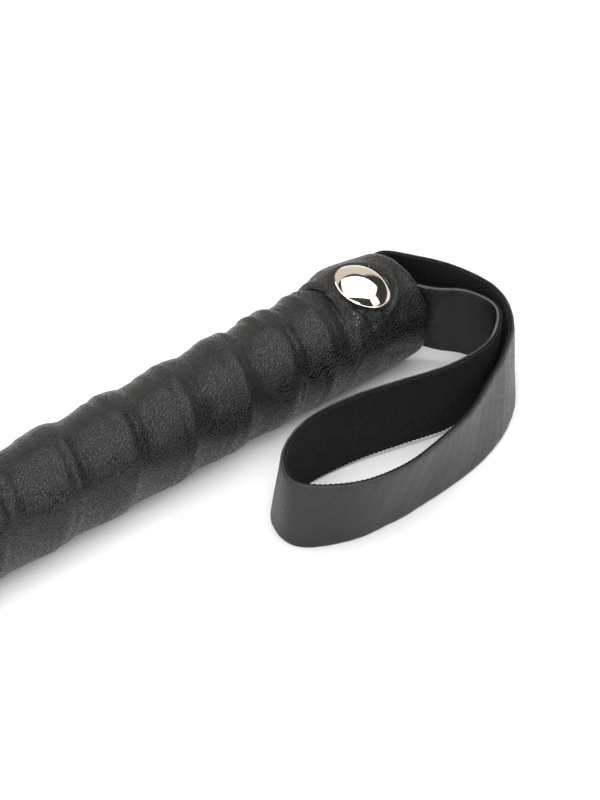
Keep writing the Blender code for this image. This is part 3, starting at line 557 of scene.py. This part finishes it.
def make_butt_wrap():
    rows, cols = 190, 320
    t = np.linspace(0, 1, rows)[:, None]
    angle = whole_turn(cols)
    x, radius, lap = butt_shape(t + 0 * angle, angle + 0 * t)
    near = np.clip((x + MOUTH_ROUNDING) / MOUTH_ROUNDING, 0, 1)
    pleats = 0.00006 * waves(27, 5, angle * 9) * near
    rim_r = MOUTH_R + MOUTH_LIP
    radius = rim_r + (radius - rim_r) * np.sqrt(np.maximum(0, 1 - near ** 2.4)) + pleats
    wear = 0.5 * np.exp(-((near - 0.86) / 0.12) ** 2)
    wear = wear + 0.35 * np.exp(-((lap - 0.8) / 0.25) ** 2) * (lap < 0.999)
    turn = np.linspace(0, math.pi, 10)[1:, None]
    lip_x = -0.0004 + 0.0004 * np.cos(turn) + 0 * angle
    lip_r = MOUTH_R + MOUTH_LIP * np.cos(turn) + 0 * angle
    inner_x = np.array([-0.0016, -0.0026])[:, None] + 0 * angle
    inner_r = np.array([MOUTH_R, BUTT_BORE_R])[:, None] + 0 * angle
    front = x[:1]
    xs = np.concatenate([x, lip_x, inner_x, front])
    rs = np.concatenate([radius, lip_r, inner_r, 0 * front + BUTT_BORE_R])
    ws = np.concatenate([wear, 0 * lip_x + 0.15, 0 * inner_x, 0 * front])
    points = pressed_by_cap(around(xs, rs, angle + 0 * xs))
    points[..., 2] = np.maximum(points[..., 2], FLOOR_CLEARANCE)
    obj = grid_object("butt_wrap_leather", points, [grip_leather], loop=True, wear=ws)
    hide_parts("butt_wrap")
    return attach(obj, "handle")


def ring_profile(name, profile, matrix, mat):
    """A turned piece from (radius, height) points, about the matrix's Z."""
    angle = whole_turn(96)
    radius = np.array([p[0] for p in profile])[:, None]
    height = np.array([p[1] for p in profile])[:, None]
    local = np.stack([radius * np.cos(angle), radius * np.sin(angle), height + 0 * angle], -1)
    return grid_object(name, placed(local, matrix)[:, ::-1], [mat], caps=False)


def make_rivet():
    """The cap: a dome over a short turned-in side, hollow underneath where the post's head sits."""
    top = CAP_SEAT + CAP_HEIGHT
    slopes = np.linspace(0.0001, math.asin((CAP_R - CAP_RIM) / CAP_BALL_R), 44)
    dome = [(CAP_BALL_R * math.sin(a), top - CAP_BALL_R * (1 - math.cos(a))) for a in slopes]
    rim = dome[-1][1]
    lip = [(CAP_R, rim - 0.00035), (CAP_R, CAP_SEAT + 0.0003), (CAP_R - 0.0003, CAP_SEAT)]
    hollow = [(POST_R + 0.0012, CAP_SEAT), (POST_R + 0.0010, CAP_SEAT + CAP_HOLLOW),
              (0.00001, CAP_SEAT + CAP_HOLLOW)]
    cap = ring_profile("rivet_dome", dome + lip + hollow, rivet_matrix(), nickel)
    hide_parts("rivet_cap")
    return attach(cap, "handle")


# ---- strap ----
def catmull(points, steps):
    rows = [np.array(p, dtype=float) for p in points]
    rows = [2 * rows[0] - rows[1]] + rows + [2 * rows[-1] - rows[-2]]
    out = []
    for i in range(1, len(rows) - 2):
        a, b, c, d = rows[i - 1], rows[i], rows[i + 1], rows[i + 2]
        for k in range(steps):
            t = k / steps
            out.append(0.5 * (2 * b + (c - a) * t + (2 * a - 5 * b + 4 * c - d) * t * t
                              + (3 * b - a - 3 * c + d) * t ** 3))
    out.append(rows[-2])
    return np.array(out)


def route_sections():
    """Middles and width directions of the strap from the mouth round the loop and back."""
    rows = catmull(STRAP_ROUTE, ROUTE_STEPS)
    middle = rows[:, :3]
    heading = np.gradient(middle, axis=0)
    heading[:, 2] = 0
    heading /= np.linalg.norm(heading, axis=1, keepdims=True)
    left = np.cross((0, 0, 1), heading)
    lean = np.radians(rows[:, 3])[:, None]
    return middle, np.array([0, 0, 1]) * np.cos(lean) + left * np.sin(lean)


def tail_sections(side):
    """Middles and width directions of one clamped tail, from its cut end to the mouth; -1 is the lower."""
    mouth = STRAP_ROUTE[0] if side < 0 else STRAP_ROUTE[-1]
    goal = np.array([0, mouth[1], mouth[2]])
    goal_roll = mouth[3] if side < 0 else -mouth[3]
    normal = np.array([0, -math.sin(RIVET_ROLL), math.cos(RIVET_ROLL)])
    flat = np.array([0, 0, AXIS_Z]) + normal * side * TAIL_OFFSET
    middles, widths = [], []
    t = np.linspace(0, 1, 60)
    xs = np.concatenate([np.linspace(TAIL_START_X, TAIL_FLAT_X, 60)[:-1],
                         TAIL_FLAT_X + (mouth[0] - MOUTH_JOIN - TAIL_FLAT_X) * t])
    for x, ease in zip(xs, np.concatenate([np.zeros(59), smooth(t)])):
        middle = flat * (1 - ease) + goal * ease
        roll = math.radians(TAIL_ROLL + (goal_roll - TAIL_ROLL) * ease)
        middles.append([x, middle[1], middle[2]])
        widths.append([0, math.sin(roll), math.cos(roll)])
    return np.array(middles), np.array(widths)


def eased(values):
    """Rows of vectors averaged with their neighbours, the end rows repeated."""
    kernel = np.hanning(2 * STRAP_EASE + 3)[1:-1]
    kernel /= kernel.sum()
    padded = np.pad(values, ((STRAP_EASE, STRAP_EASE), (0, 0)), mode="edge")
    return np.stack([np.convolve(padded[:, k], kernel, "valid") for k in range(3)], -1)


def strap_frames():
    """The whole strap, evenly spaced: middle, width, leather-side normal, and where its stretches meet."""
    route_middle, route_width = route_sections()
    outer_middle, outer_width = tail_sections(-1)
    inner_middle, inner_width = tail_sections(1)
    rough_middle = np.concatenate([outer_middle, route_middle, inner_middle[::-1]])
    rough_width = np.concatenate([outer_width, route_width, inner_width[::-1]])
    s = run_length(rough_middle)
    at = np.arange(0, s[-1], STRAP_STEP)
    middle = eased(np.stack([np.interp(at, s, rough_middle[:, k]) for k in range(3)], -1))
    width = eased(np.stack([np.interp(at, s, rough_width[:, k]) for k in range(3)], -1))
    heading = np.gradient(middle, axis=0)
    heading /= np.linalg.norm(heading, axis=1, keepdims=True)
    width /= np.linalg.norm(width, axis=1, keepdims=True)
    normal = np.cross(width, heading)
    normal /= np.linalg.norm(normal, axis=1, keepdims=True)
    marks = [len(outer_middle) + k * ROUTE_STEPS for k in (NECK_OUTER_END, NECK_INNER_START)]
    cuts = [int(round(s[k] / STRAP_STEP)) for k in marks]
    return middle + np.array(SHIFT), width, normal, at, cuts


def strap_ring(kind):
    """Cross-section of one ply: (across, out) points, and which strips of it are cut edge."""
    half = STRAP_WIDTH / 2
    if kind == "leather":
        outer = [(e, LEATHER_OUT) for e in np.linspace(-half + 0.00022, half - 0.00022, 60)]
        right = [(half - 0.00010, LEATHER_OUT - 0.00003), (half, LEATHER_OUT - 0.00013),
                 (half, LEATHER_OUT - 0.00040), (half - 0.00003, 0.00001)]
        left = [(-e, d) for e, d in reversed(right)]
        ring = outer + right + left
        cut_edges = np.zeros(len(ring), np.int32)
        cut_edges[61:63] = 1
        cut_edges[64:66] = 1
        return np.array(ring), cut_edges
    points_per_rib = 6
    e = np.linspace(-half + 0.0002, half - 0.0002, TEXTILE_RIBS * points_per_rib + 1)
    rib = (0.5 - 0.5 * np.cos(2 * math.pi * np.arange(len(e)) / points_per_rib)) ** 0.7
    d = -TEXTILE_OUT + RIB_DEPTH * (1 - rib)
    ring = list(zip(e[::-1], d[::-1]))
    ring += [(-half + 0.0002, -0.00001), (half - 0.0002, -0.00001)]
    return np.array(ring), np.zeros(len(ring), np.int32)


def leather_relief(s, across, out, inner_start):
    """The leather ply's slight waves, and its wear: rubbed corners, and a pale edge inside the mouth."""
    half = STRAP_WIDTH / 2
    edge = smooth((np.abs(across) - half + 0.0012) / 0.0012)
    face = smooth((out - 0.0005) / 0.0001)
    out = out + (0.00004 * waves(31, 6, s * 900, across * 500) - 0.00006 * edge) * face
    across = across * (1 + 0.0012 * waves(33, 5, s * 1600, across * 0))
    pale = smooth((s - inner_start + 0.012) / 0.004) * (across > 0)
    wear = 0.35 * smooth((np.abs(across) - half + 0.0005) / 0.0004) * face + pale * (1 - face)
    return across, out, wear


def textile_relief(s, across, out):
    """The textile ply's rows of links, each half a link on from its neighbour, and its uneven edge."""
    rib_width = 0.000568
    links = 0.5 + 0.5 * np.cos(2 * math.pi * (s / LINK_PITCH + np.round(across / rib_width) * 0.5))
    out = out + 0.00005 * (1 - links) * smooth((-out - 0.0003) / 0.0002)
    fringe = smooth((np.abs(across) - STRAP_WIDTH / 2 + 0.0005) / 0.0002)
    across = across + np.sign(across) * 0.00018 * fringe * (links - 0.3)
    return across, out, 0 * across


def make_strap():
    """Both plies, each one continuous strip, cut where the joint's bending stretches begin and end."""
    middle, width, normal, along, cuts = strap_frames()
    stretches = (("neck_outer", 0, cuts[0] + 1), ("wrist_loop", cuts[0], cuts[1] + 1),
                 ("neck_inner", cuts[1], len(along)))
    s = along[:, None]
    for kind, node_kind, slot, mats in (("leather", "leather", "strap_leather", [strap_leather, cut_edge]),
                                        ("textile", "backing", "strap_backing", [textile])):
        ring, cut_edges = strap_ring(kind)
        across, out = ring[:, 0][None, :], ring[:, 1][None, :]
        if kind == "leather":
            across, out, wear = leather_relief(s, across, out, along[cuts[1]])
        else:
            across, out, wear = textile_relief(s, across, out)
        across, out, wear = across + 0 * s, out + 0 * s, wear + 0 * s
        points = middle[:, None] + width[:, None] * across[..., None] + normal[:, None] * out[..., None]
        normals = grid_normals(points)
        v = run_length(np.vstack([ring, ring[:1]]))
        made = []
        for name, a, b in stretches:
            obj = grid_object(f"{name}_{kind}", points[a:b], mats, along[a:b], v, pick=cut_edges,
                              wear=wear[a:b], normals=normals[a:b])
            made.append(obj)
        outer, loop, inner = made
        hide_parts("tail_outer_" + node_kind, "neck_outer_" + node_kind)
        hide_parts("loop_" + node_kind)
        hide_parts("tail_inner_" + node_kind, "neck_inner_" + node_kind)
        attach(loop, "wrist_loop")
        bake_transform(outer)
        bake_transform(inner)


# ---- shaft, ferrule and bindings ----
def rod_radius(x):
    return ROD_BUTT_R + (ROD_TIP_R - ROD_BUTT_R) * (x - ROD_BUTT_X) / (ROD_TIP_X - ROD_BUTT_X)


def tube(path, radius, out, sides=10, plies=0, lay=1.0, flat=1.0):
    """Rings round a path. plies and lay twist a cord's strands; flat squeezes it along out."""
    step = np.gradient(path, axis=0)
    length = np.linalg.norm(step, axis=1)
    heading = step / length[:, None]
    up = out - heading * np.sum(out * heading, 1, keepdims=True)
    up /= np.linalg.norm(up, axis=1, keepdims=True)
    side = np.cross(heading, up)
    s = np.cumsum(length)[:, None]
    a = whole_turn(sides)
    strands = 0.16 * np.cos(plies * (a - 2 * math.pi * s / lay)) if plies else 0
    r = np.asarray(radius).reshape(-1, 1) * (1 + strands)
    upward = (r * np.cos(a) * flat)[..., None] * up[:, None]
    sideways = (r * np.sin(a))[..., None] * side[:, None]
    return path[:, None] + upward + sideways


def joined(name, tubes, mat):
    """Several tubes in one mesh, each with its own run of texture coordinates."""
    offset, girth = 0.013, 0.0016       # of the texture coordinates, tube by tube and round each tube
    objs = []
    for k, rings in enumerate(tubes):
        run = run_length(rings[:, 0]) + offset * k
        v = np.linspace(0, girth, rings.shape[1] + 1)
        objs.append(grid_object(f"{name}_{k}", rings, [mat], run, v))
    if len(objs) > 1:
        with bpy.context.temp_override(active_object=objs[0], selected_editable_objects=objs,
                                       selected_objects=objs):
            bpy.ops.object.join()
    objs[0].name = name
    return objs[0]


def make_braid():
    """Two sets of yarns that wind opposite ways and pass over and under each other, with a skin below."""
    start, stop = GRIP_FRONT_X - GAP, TIP_BINDING_X + 0.002
    steps_per_lay = 26
    x = np.linspace(start, stop, int(abs(stop - start) / BRAID_LAY * steps_per_lay))
    turn = 2 * math.pi * (start - x) / BRAID_LAY
    tubes = []
    for way in (1, -1):
        for k in range(BRAID_STRANDS):
            angle = way * turn + 2 * math.pi * k / BRAID_STRANDS
            over = way * np.cos(BRAID_STRANDS * turn)
            radius = rod_radius(x) + BRAID_OUT - YARN_HALF + 0.00013 * over
            path = around(x, radius, angle)
            half = radius * math.pi / BRAID_STRANDS * 0.74
            tubes.append(tube(path, half, from_axis(path), 8, flat=0.34))
    skin = np.linspace(start, stop, 60)[:, None]
    a = whole_turn(32)
    tubes.append(around(skin + 0 * a, rod_radius(skin) + 0.0004 + 0 * a, a + 0 * skin))
    obj = joined("shaft_braid_yarn", tubes, braid_yarn)
    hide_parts("shaft_braid")
    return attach(obj, "handle")


def make_ferrule():
    """A leather collar over the grip's front end, shrunk on to the shaft, with its overlapped seam."""
    back = GRIP_FRONT_X + FERRULE_OVERLAP
    nose = rod_radius(FERRULE_FRONT_X) + BRAID_OUT + GAP
    profile = (                 # x, radius
        (back, 0.01070), (back - 0.0003, 0.01122), (back - 0.0009, 0.01148),
        (GRIP_FRONT_X + 0.002, 0.01148), (GRIP_FRONT_X + 0.0002, 0.01125), (GRIP_FRONT_X - 0.0018, 0.01060),
        (FERRULE_FRONT_X + 0.0045, 0.0072), (FERRULE_FRONT_X + 0.0020, nose + 0.0013),
        (FERRULE_FRONT_X + 0.0006, nose + 0.0010), (FERRULE_FRONT_X, nose + 0.0005))
    x = np.linspace(back, FERRULE_FRONT_X, 90)
    radius = np.interp(-x, [-place for place, _ in profile], [r for _, r in profile])
    soft = np.hanning(9)[1:-1]
    radius[3:-3] = np.convolve(radius, soft / soft.sum(), "valid")
    x, radius = x[:, None], radius[:, None]
    a = whole_turn(200)
    cone = smooth((GRIP_FRONT_X - x) / 0.003) * smooth((x - FERRULE_FRONT_X) / 0.002)
    from_seam = (a - FERRULE_SEAM) % (2 * math.pi)
    seam = 0.00022 * smooth(from_seam / 0.05) * smooth((1.2 - from_seam) / 1.1)
    pleat = 0.00016 * waves(41, 5, a * 8) * cone
    r = np.minimum(radius + pleat + seam * (0.4 + 0.6 * cone), GRIP_R - 0.00001)
    outer = around(x + 0 * a, r, a + 0 * r)
    inner_x = np.array([FERRULE_FRONT_X, GRIP_FRONT_X - 0.0012, GRIP_FRONT_X - 0.0006, back])[:, None]
    inner_r = np.array([nose, nose, BUTT_BORE_R, BUTT_BORE_R])[:, None]
    inner = around(inner_x + 0 * a, inner_r + 0 * a, a + 0 * inner_x)
    wear = 0.5 * np.exp(-((back - 0.0006 - x) / 0.0005) ** 2)
    wear = np.concatenate([wear, 0 * inner_x]) + 0 * a
    points = np.concatenate([outer, inner])
    obj = grid_object("ferrule_leather", points, [grip_leather], loop=True, wear=wear)
    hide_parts("grip_ferrule")
    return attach(obj, "handle")


def make_winding(name, node, start, end, turns, middle_r, cord_r, squeeze):
    """A waxed cord wound side by side round the shaft, its two ends tucked under."""
    t = np.linspace(0, 1, turns * 72)
    x = start - cord_r + (end + cord_r - start + cord_r) * t
    a = 2 * math.pi * turns * t
    tuck = 0.0005 * (1 - smooth(t * turns / 0.25) * smooth((1 - t) * turns / 0.25))
    r = middle_r(x) - tuck
    path = np.stack([x + SHIFT.x, SHIFT.y - r * np.sin(a), AXIS_Z + r * squeeze * np.cos(a)], -1)
    cord = tube(path, cord_r + 0 * t, from_axis(path), 14, plies=3, lay=0.0042, flat=0.62)
    obj = joined(name, [cord], thread)
    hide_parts(node)
    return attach(obj, "handle")


def make_windings():
    whipping_start = FERRULE_FRONT_X - GAP
    make_winding("grip_whipping_thread", "grip_whipping", whipping_start, whipping_start - WHIPPING_LENGTH,
                 WHIPPING_TURNS, lambda x: rod_radius(x) + BRAID_OUT + GAP + 0.0004, WHIPPING_CORD_R, 1.0)
    make_winding("tip_binding_thread", "tip_binding", TIP_BINDING_X, TIP_HINGE_X + 0.0005, BINDING_TURNS,
                 lambda x: BINDING_R + 0 * x, BINDING_CORD_R, BINDING_SQUEEZE)


# ---- tip ----
def tip_half_width(x):
    return (TIP_ROOT_WIDTH + (TIP_WIDTH - TIP_ROOT_WIDTH) * smooth((TIP_HINGE_X - x) / TIP_WIDEN_RUN)) / 2


def tip_layer_height(x):
    ease = smooth((TIP_HINGE_X - x) / TIP_CLOSE_RUN)
    open_height = TIP_SPREAD + TIP_LEATHER / 2
    return open_height + (TIP_LEATHER / 2 + GAP / 2 - open_height) * ease


def tongue_path():
    """The strip's middle line in X and Z: out along the top layer, round the fold and back below."""
    fold_r = TIP_LEATHER / 2 + GAP / 2
    bend_x = TIP_END_X + fold_r + TIP_LEATHER / 2
    run = np.linspace(TIP_BINDING_X - 0.001, bend_x, 300)
    arc = np.linspace(0, math.pi, 15)[1:-1]
    xs = np.concatenate([run, bend_x - fold_r * np.sin(arc), run[::-1]])
    zs = np.concatenate([tip_layer_height(run), fold_r * np.cos(arc), -tip_layer_height(run[::-1])])
    return xs, zs


FACE, CORNER, SIDE = 0, 1, 2


def tongue_ring():
    """Cross-section of the strip: place across, from -1 to 1, place through it, and what is there."""
    lanes = np.linspace(-1, 1, 120)
    side = [(1, 0.5, CORNER), (1, 0.2, SIDE), (1, -0.2, SIDE), (1, -0.5, CORNER)]
    ring = [(lane, 0.5, FACE) for lane in lanes] + side
    ring += [(lane, -0.5, FACE) for lane in lanes[::-1]] + [(-e, -d, where) for e, d, where in side]
    return np.array(ring)


def stitch_groove(x, y):
    """How far into the sunk line of stitching a place is, down both sides and across the end."""
    in_run = smooth((STITCH_START_X + 0.0005 - x) / 0.0005) * smooth((x - STITCH_END_X + 0.0005) / 0.0005)
    beside = np.abs(np.abs(y) - STITCH_LINE_Y)
    in_width = smooth((STITCH_LINE_Y + 0.0005 - np.abs(y)) / 0.0004)
    beyond = np.abs(x - STITCH_END_X)
    return np.maximum(in_run * (1 - smooth((beside - 0.0002) / 0.0005)),
                      in_width * (1 - smooth((beyond - 0.0002) / 0.0005)))


def make_tongue():
    """One strip of leather, folded at its end, with a sunk line of stitching round both faces."""
    xs, zs = tongue_path()
    heading = np.stack([np.gradient(xs), np.gradient(zs)], -1)
    heading /= np.linalg.norm(heading, axis=1, keepdims=True)
    normal = np.stack([heading[:, 1], 0 * xs, -heading[:, 0]], -1)
    ring = tongue_ring()
    side, through, where = ring[:, 0][None, :], ring[:, 1][None, :], ring[:, 2][None, :]
    x, half = xs[:, None], tip_half_width(xs)[:, None]
    corner = TIP_BEVEL * 0.3
    inset = np.where(where == FACE, TIP_BEVEL, np.where(where == CORNER, corner, 0.0))
    depth = np.where(where == CORNER, np.sign(through) * (TIP_LEATHER / 2 - corner), through * TIP_LEATHER)
    y = side * (half - inset)
    y = y + np.sign(side) * (where > FACE) * 0.00006 * waves(51, 5, x * 900, side * 0)
    outer = (depth > 0) * (where == FACE)
    wave = 0.00005 * waves(53, 6, x * 260, y * 300)
    rounding = 0.00012 * (smooth((1 - np.abs(side)) * half / 0.002) - 1)
    depth = depth + outer * (wave - GROOVE_DEPTH * stitch_groove(x, y) + rounding)
    wear = 0.45 * (where > FACE) + 0.35 * outer * smooth((np.abs(y) - half + 0.0011) / 0.0008)
    wear = wear + 0.35 * outer * np.exp(-((x - TIP_END_X - 0.0006) / 0.0009) ** 2)
    base = np.stack([xs + SHIFT.x, 0 * xs + SHIFT.y, zs + AXIS_Z], -1)
    points = base[:, None] + np.stack([0 * y, y, 0 * y], -1) + normal[:, None] * depth[..., None]
    s = run_length(np.stack([xs, zs], -1))
    v = np.append(ring[:, 0] * 0.013 + 0.0005 * ring[:, 2], 0)
    obj = grid_object("tip_tongue", points, [tip_leather], s, v, wear=np.clip(wear, 0, 1))
    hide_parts("tip_root_upper", "tip_root_lower", "tip_neck_upper", "tip_neck_lower", "tip_flap")
    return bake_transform(obj)


def make_stitches(name, node, side):
    """Separate stitches in the sunk line, each dipping into its two holes; side is 1 above, -1 below."""
    corners = [(STITCH_START_X, STITCH_LINE_Y), (STITCH_END_X, STITCH_LINE_Y),
               (STITCH_END_X, -STITCH_LINE_Y), (STITCH_START_X, -STITCH_LINE_Y)]
    arch = np.sin(np.linspace(0, math.pi, STITCH_POINTS)) ** 0.45
    z = side * (TIP_LEATHER + GAP / 2 - 0.00095 + 0.00070 * arch)
    slant = 0.00012 * np.linspace(-1, 1, STITCH_POINTS)
    out = np.tile(np.array([0.02, 0.03, side]), (STITCH_POINTS, 1))
    tubes = []
    for (x1, y1), (x2, y2) in zip(corners, corners[1:]):
        length = math.hypot(x2 - x1, y2 - y1)
        along_x, along_y = (x2 - x1) / length, (y2 - y1) / length
        count = round(length / STITCH_PITCH)
        for k in range(count):
            run = length * (k + np.linspace(0.06, 0.94, STITCH_POINTS)) / count
            x = x1 + along_x * run - along_y * slant
            y = y1 + along_y * run + along_x * slant
            path = np.stack([x + SHIFT.x, y + SHIFT.y, z + AXIS_Z], -1)
            tubes.append(tube(path, STITCH_R + 0 * run, out, 10, plies=3, lay=0.0016))
    obj = joined(name, tubes, thread)
    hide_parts(node)
    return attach(obj, "tip")


# ---- the carried-over CAD nodes ----
def finish_nodes():
    kept = {"grip_core": wood, "grip_foam": foam, "shaft_rod": glass_fibre, "rivet_post": nickel,
            "rivet_back": nickel}
    for name, mat in kept.items():
        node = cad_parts[name]
        node.data.materials.clear()
        node.data.materials.append(mat)


# ---- floor, light and camera ----
def make_floor():
    mesh = bpy.data.meshes.new("table_top")
    reach = 6.0
    mesh.from_pydata([(-reach, -reach, 0), (reach, -reach, 0), (reach, reach, 0), (-reach, reach, 0)], [],
                     [(0, 1, 2, 3)])
    mesh.materials.append(floor_finish())
    obj = bpy.data.objects.new("table_top", mesh)
    bpy.context.scene.collection.objects.link(obj)


VIEW_TURN = math.radians(44.3)
VIEW_TILT = math.radians(34)
VIEW_DISTANCE = 0.900
VIEW_LENS = 196.4
AIM_HEIGHT = 0.01175
AIM_RIGHT, AIM_UP = 0.01876, 0.02021     # from the mouth back to the picture's middle
WORLD_LOW, WORLD_HIGH, WORLD_BACKDROP = 0.05, 0.06, 0.70
BACKDROP_WAY = (-0.10, 0.995, 0)
BACKDROP_TOP = (0.74, 0.68)              # sines of the heights between which the backdrop begins
BACKDROP_SIDES = (0.10, 0.30)            # the same for how far round to the sides it reaches
VIEW_RIGHT = Vector((math.cos(VIEW_TURN), -math.sin(VIEW_TURN), 0))
VIEW_LEVEL = Vector((math.sin(VIEW_TURN), math.cos(VIEW_TURN), 0))


def make_camera():
    forward = VIEW_LEVEL * math.cos(VIEW_TILT) - Vector((0, 0, math.sin(VIEW_TILT)))
    up = VIEW_LEVEL * math.sin(VIEW_TILT) + Vector((0, 0, math.cos(VIEW_TILT)))
    data = bpy.data.cameras.new("camera")
    data.lens = VIEW_LENS
    data.sensor_width = 36
    data.clip_start, data.clip_end = 0.05, 50
    camera = bpy.data.objects.new("camera", data)
    mouth = SHIFT + Vector((0, 0, AIM_HEIGHT))
    camera.location = mouth - forward * VIEW_DISTANCE - VIEW_RIGHT * AIM_RIGHT - up * AIM_UP
    camera.rotation_mode = "QUATERNION"
    camera.rotation_quaternion = Matrix((VIEW_RIGHT, up, -forward)).transposed().to_quaternion()
    bpy.context.scene.collection.objects.link(camera)
    bpy.context.scene.camera = camera


def make_world():
    """A dim studio, a little lighter overhead, with a cream backdrop standing behind the crop."""
    world = bpy.data.worlds.new("studio")
    bpy.context.scene.world = world
    world.use_nodes = True
    tree = world.node_tree
    way = add_node(tree, "TexCoord").outputs["Generated"]

    def towards(direction, low, high, out_low=0.0, out_high=1.0):
        """A smooth step in how far the view's way points along a direction."""
        dot = add_node(tree, "VectorMath", {0: way, 1: direction}, operation="DOT_PRODUCT")
        inputs = {0: dot.outputs["Value"], 1: low, 2: high, 3: out_low, 4: out_high}
        return add_node(tree, "MapRange", inputs, interpolation_type="SMOOTHSTEP").outputs[0]

    dim = towards(Vector((0, 0, 0.9)) - VIEW_RIGHT * 0.5, 0.0, 1.0, WORLD_LOW, WORLD_HIGH)
    below_top = towards((0, 0, 1), *BACKDROP_TOP)
    behind = towards(BACKDROP_WAY, *BACKDROP_SIDES)
    backdrop = add_node(tree, "Math", {0: below_top, 1: behind}, operation="MULTIPLY").outputs[0]
    backdrop = add_node(tree, "Math", {0: backdrop, 1: WORLD_BACKDROP}, operation="MULTIPLY").outputs[0]
    total = add_node(tree, "Math", {0: dim, 1: backdrop}, operation="ADD").outputs[0]
    background = tree.nodes["Background"]
    background.inputs["Color"].default_value = (1.0, 0.94, 0.87, 1.0)
    tree.links.new(total, background.inputs["Strength"])


def area_light(name, direction, distance, size, power, aim, flat=False):
    """A rectangular softbox; flat ones hang level, square to the viewer, the others face the crop."""
    data = bpy.data.lights.new(name, "AREA")
    data.shape = "RECTANGLE"
    data.size, data.size_y = size
    data.energy = power
    obj = bpy.data.objects.new(name, data)
    obj.location = aim + direction * distance
    obj.rotation_mode = "QUATERNION"
    if flat:
        axes = Matrix((VIEW_RIGHT, VIEW_LEVEL, Vector((0, 0, 1))))
        obj.rotation_quaternion = axes.transposed().to_quaternion()
    else:
        obj.rotation_quaternion = (-direction).to_track_quat("-Z", "Y")
    bpy.context.scene.collection.objects.link(obj)


def make_lights():
    aim = SHIFT + Vector((-0.04, -0.01, 0.01))
    overhead = VIEW_RIGHT * 0.45 + Vector((0, 0, 1))
    area_light("top_softbox", overhead, 1.0, (2.15, 1.40), 23.0, aim, flat=True)
    area_light("right_window", Vector((0.42, -0.82, 0.38)), 1.1, (0.45, 0.45), 1.0, aim)
    area_light("front_fill", Vector((-0.72, -0.54, 0.44)), 1.4, (1.0, 0.6), 17.0, aim)


make_camera()
make_world()
make_lights()
make_floor()
finish_nodes()
make_grip_wrap()
make_butt_wrap()
make_rivet()
make_strap()
make_braid()
make_ferrule()
make_windings()
make_tongue()
make_stitches("tip_stitches_upper", "tip_thread_upper", 1)
make_stitches("tip_stitches_lower", "tip_thread_lower", -1)

scene = bpy.context.scene
scene.view_settings.view_transform = "Standard"
scene.view_settings.look = "None"
scene.view_settings.exposure = 0.0
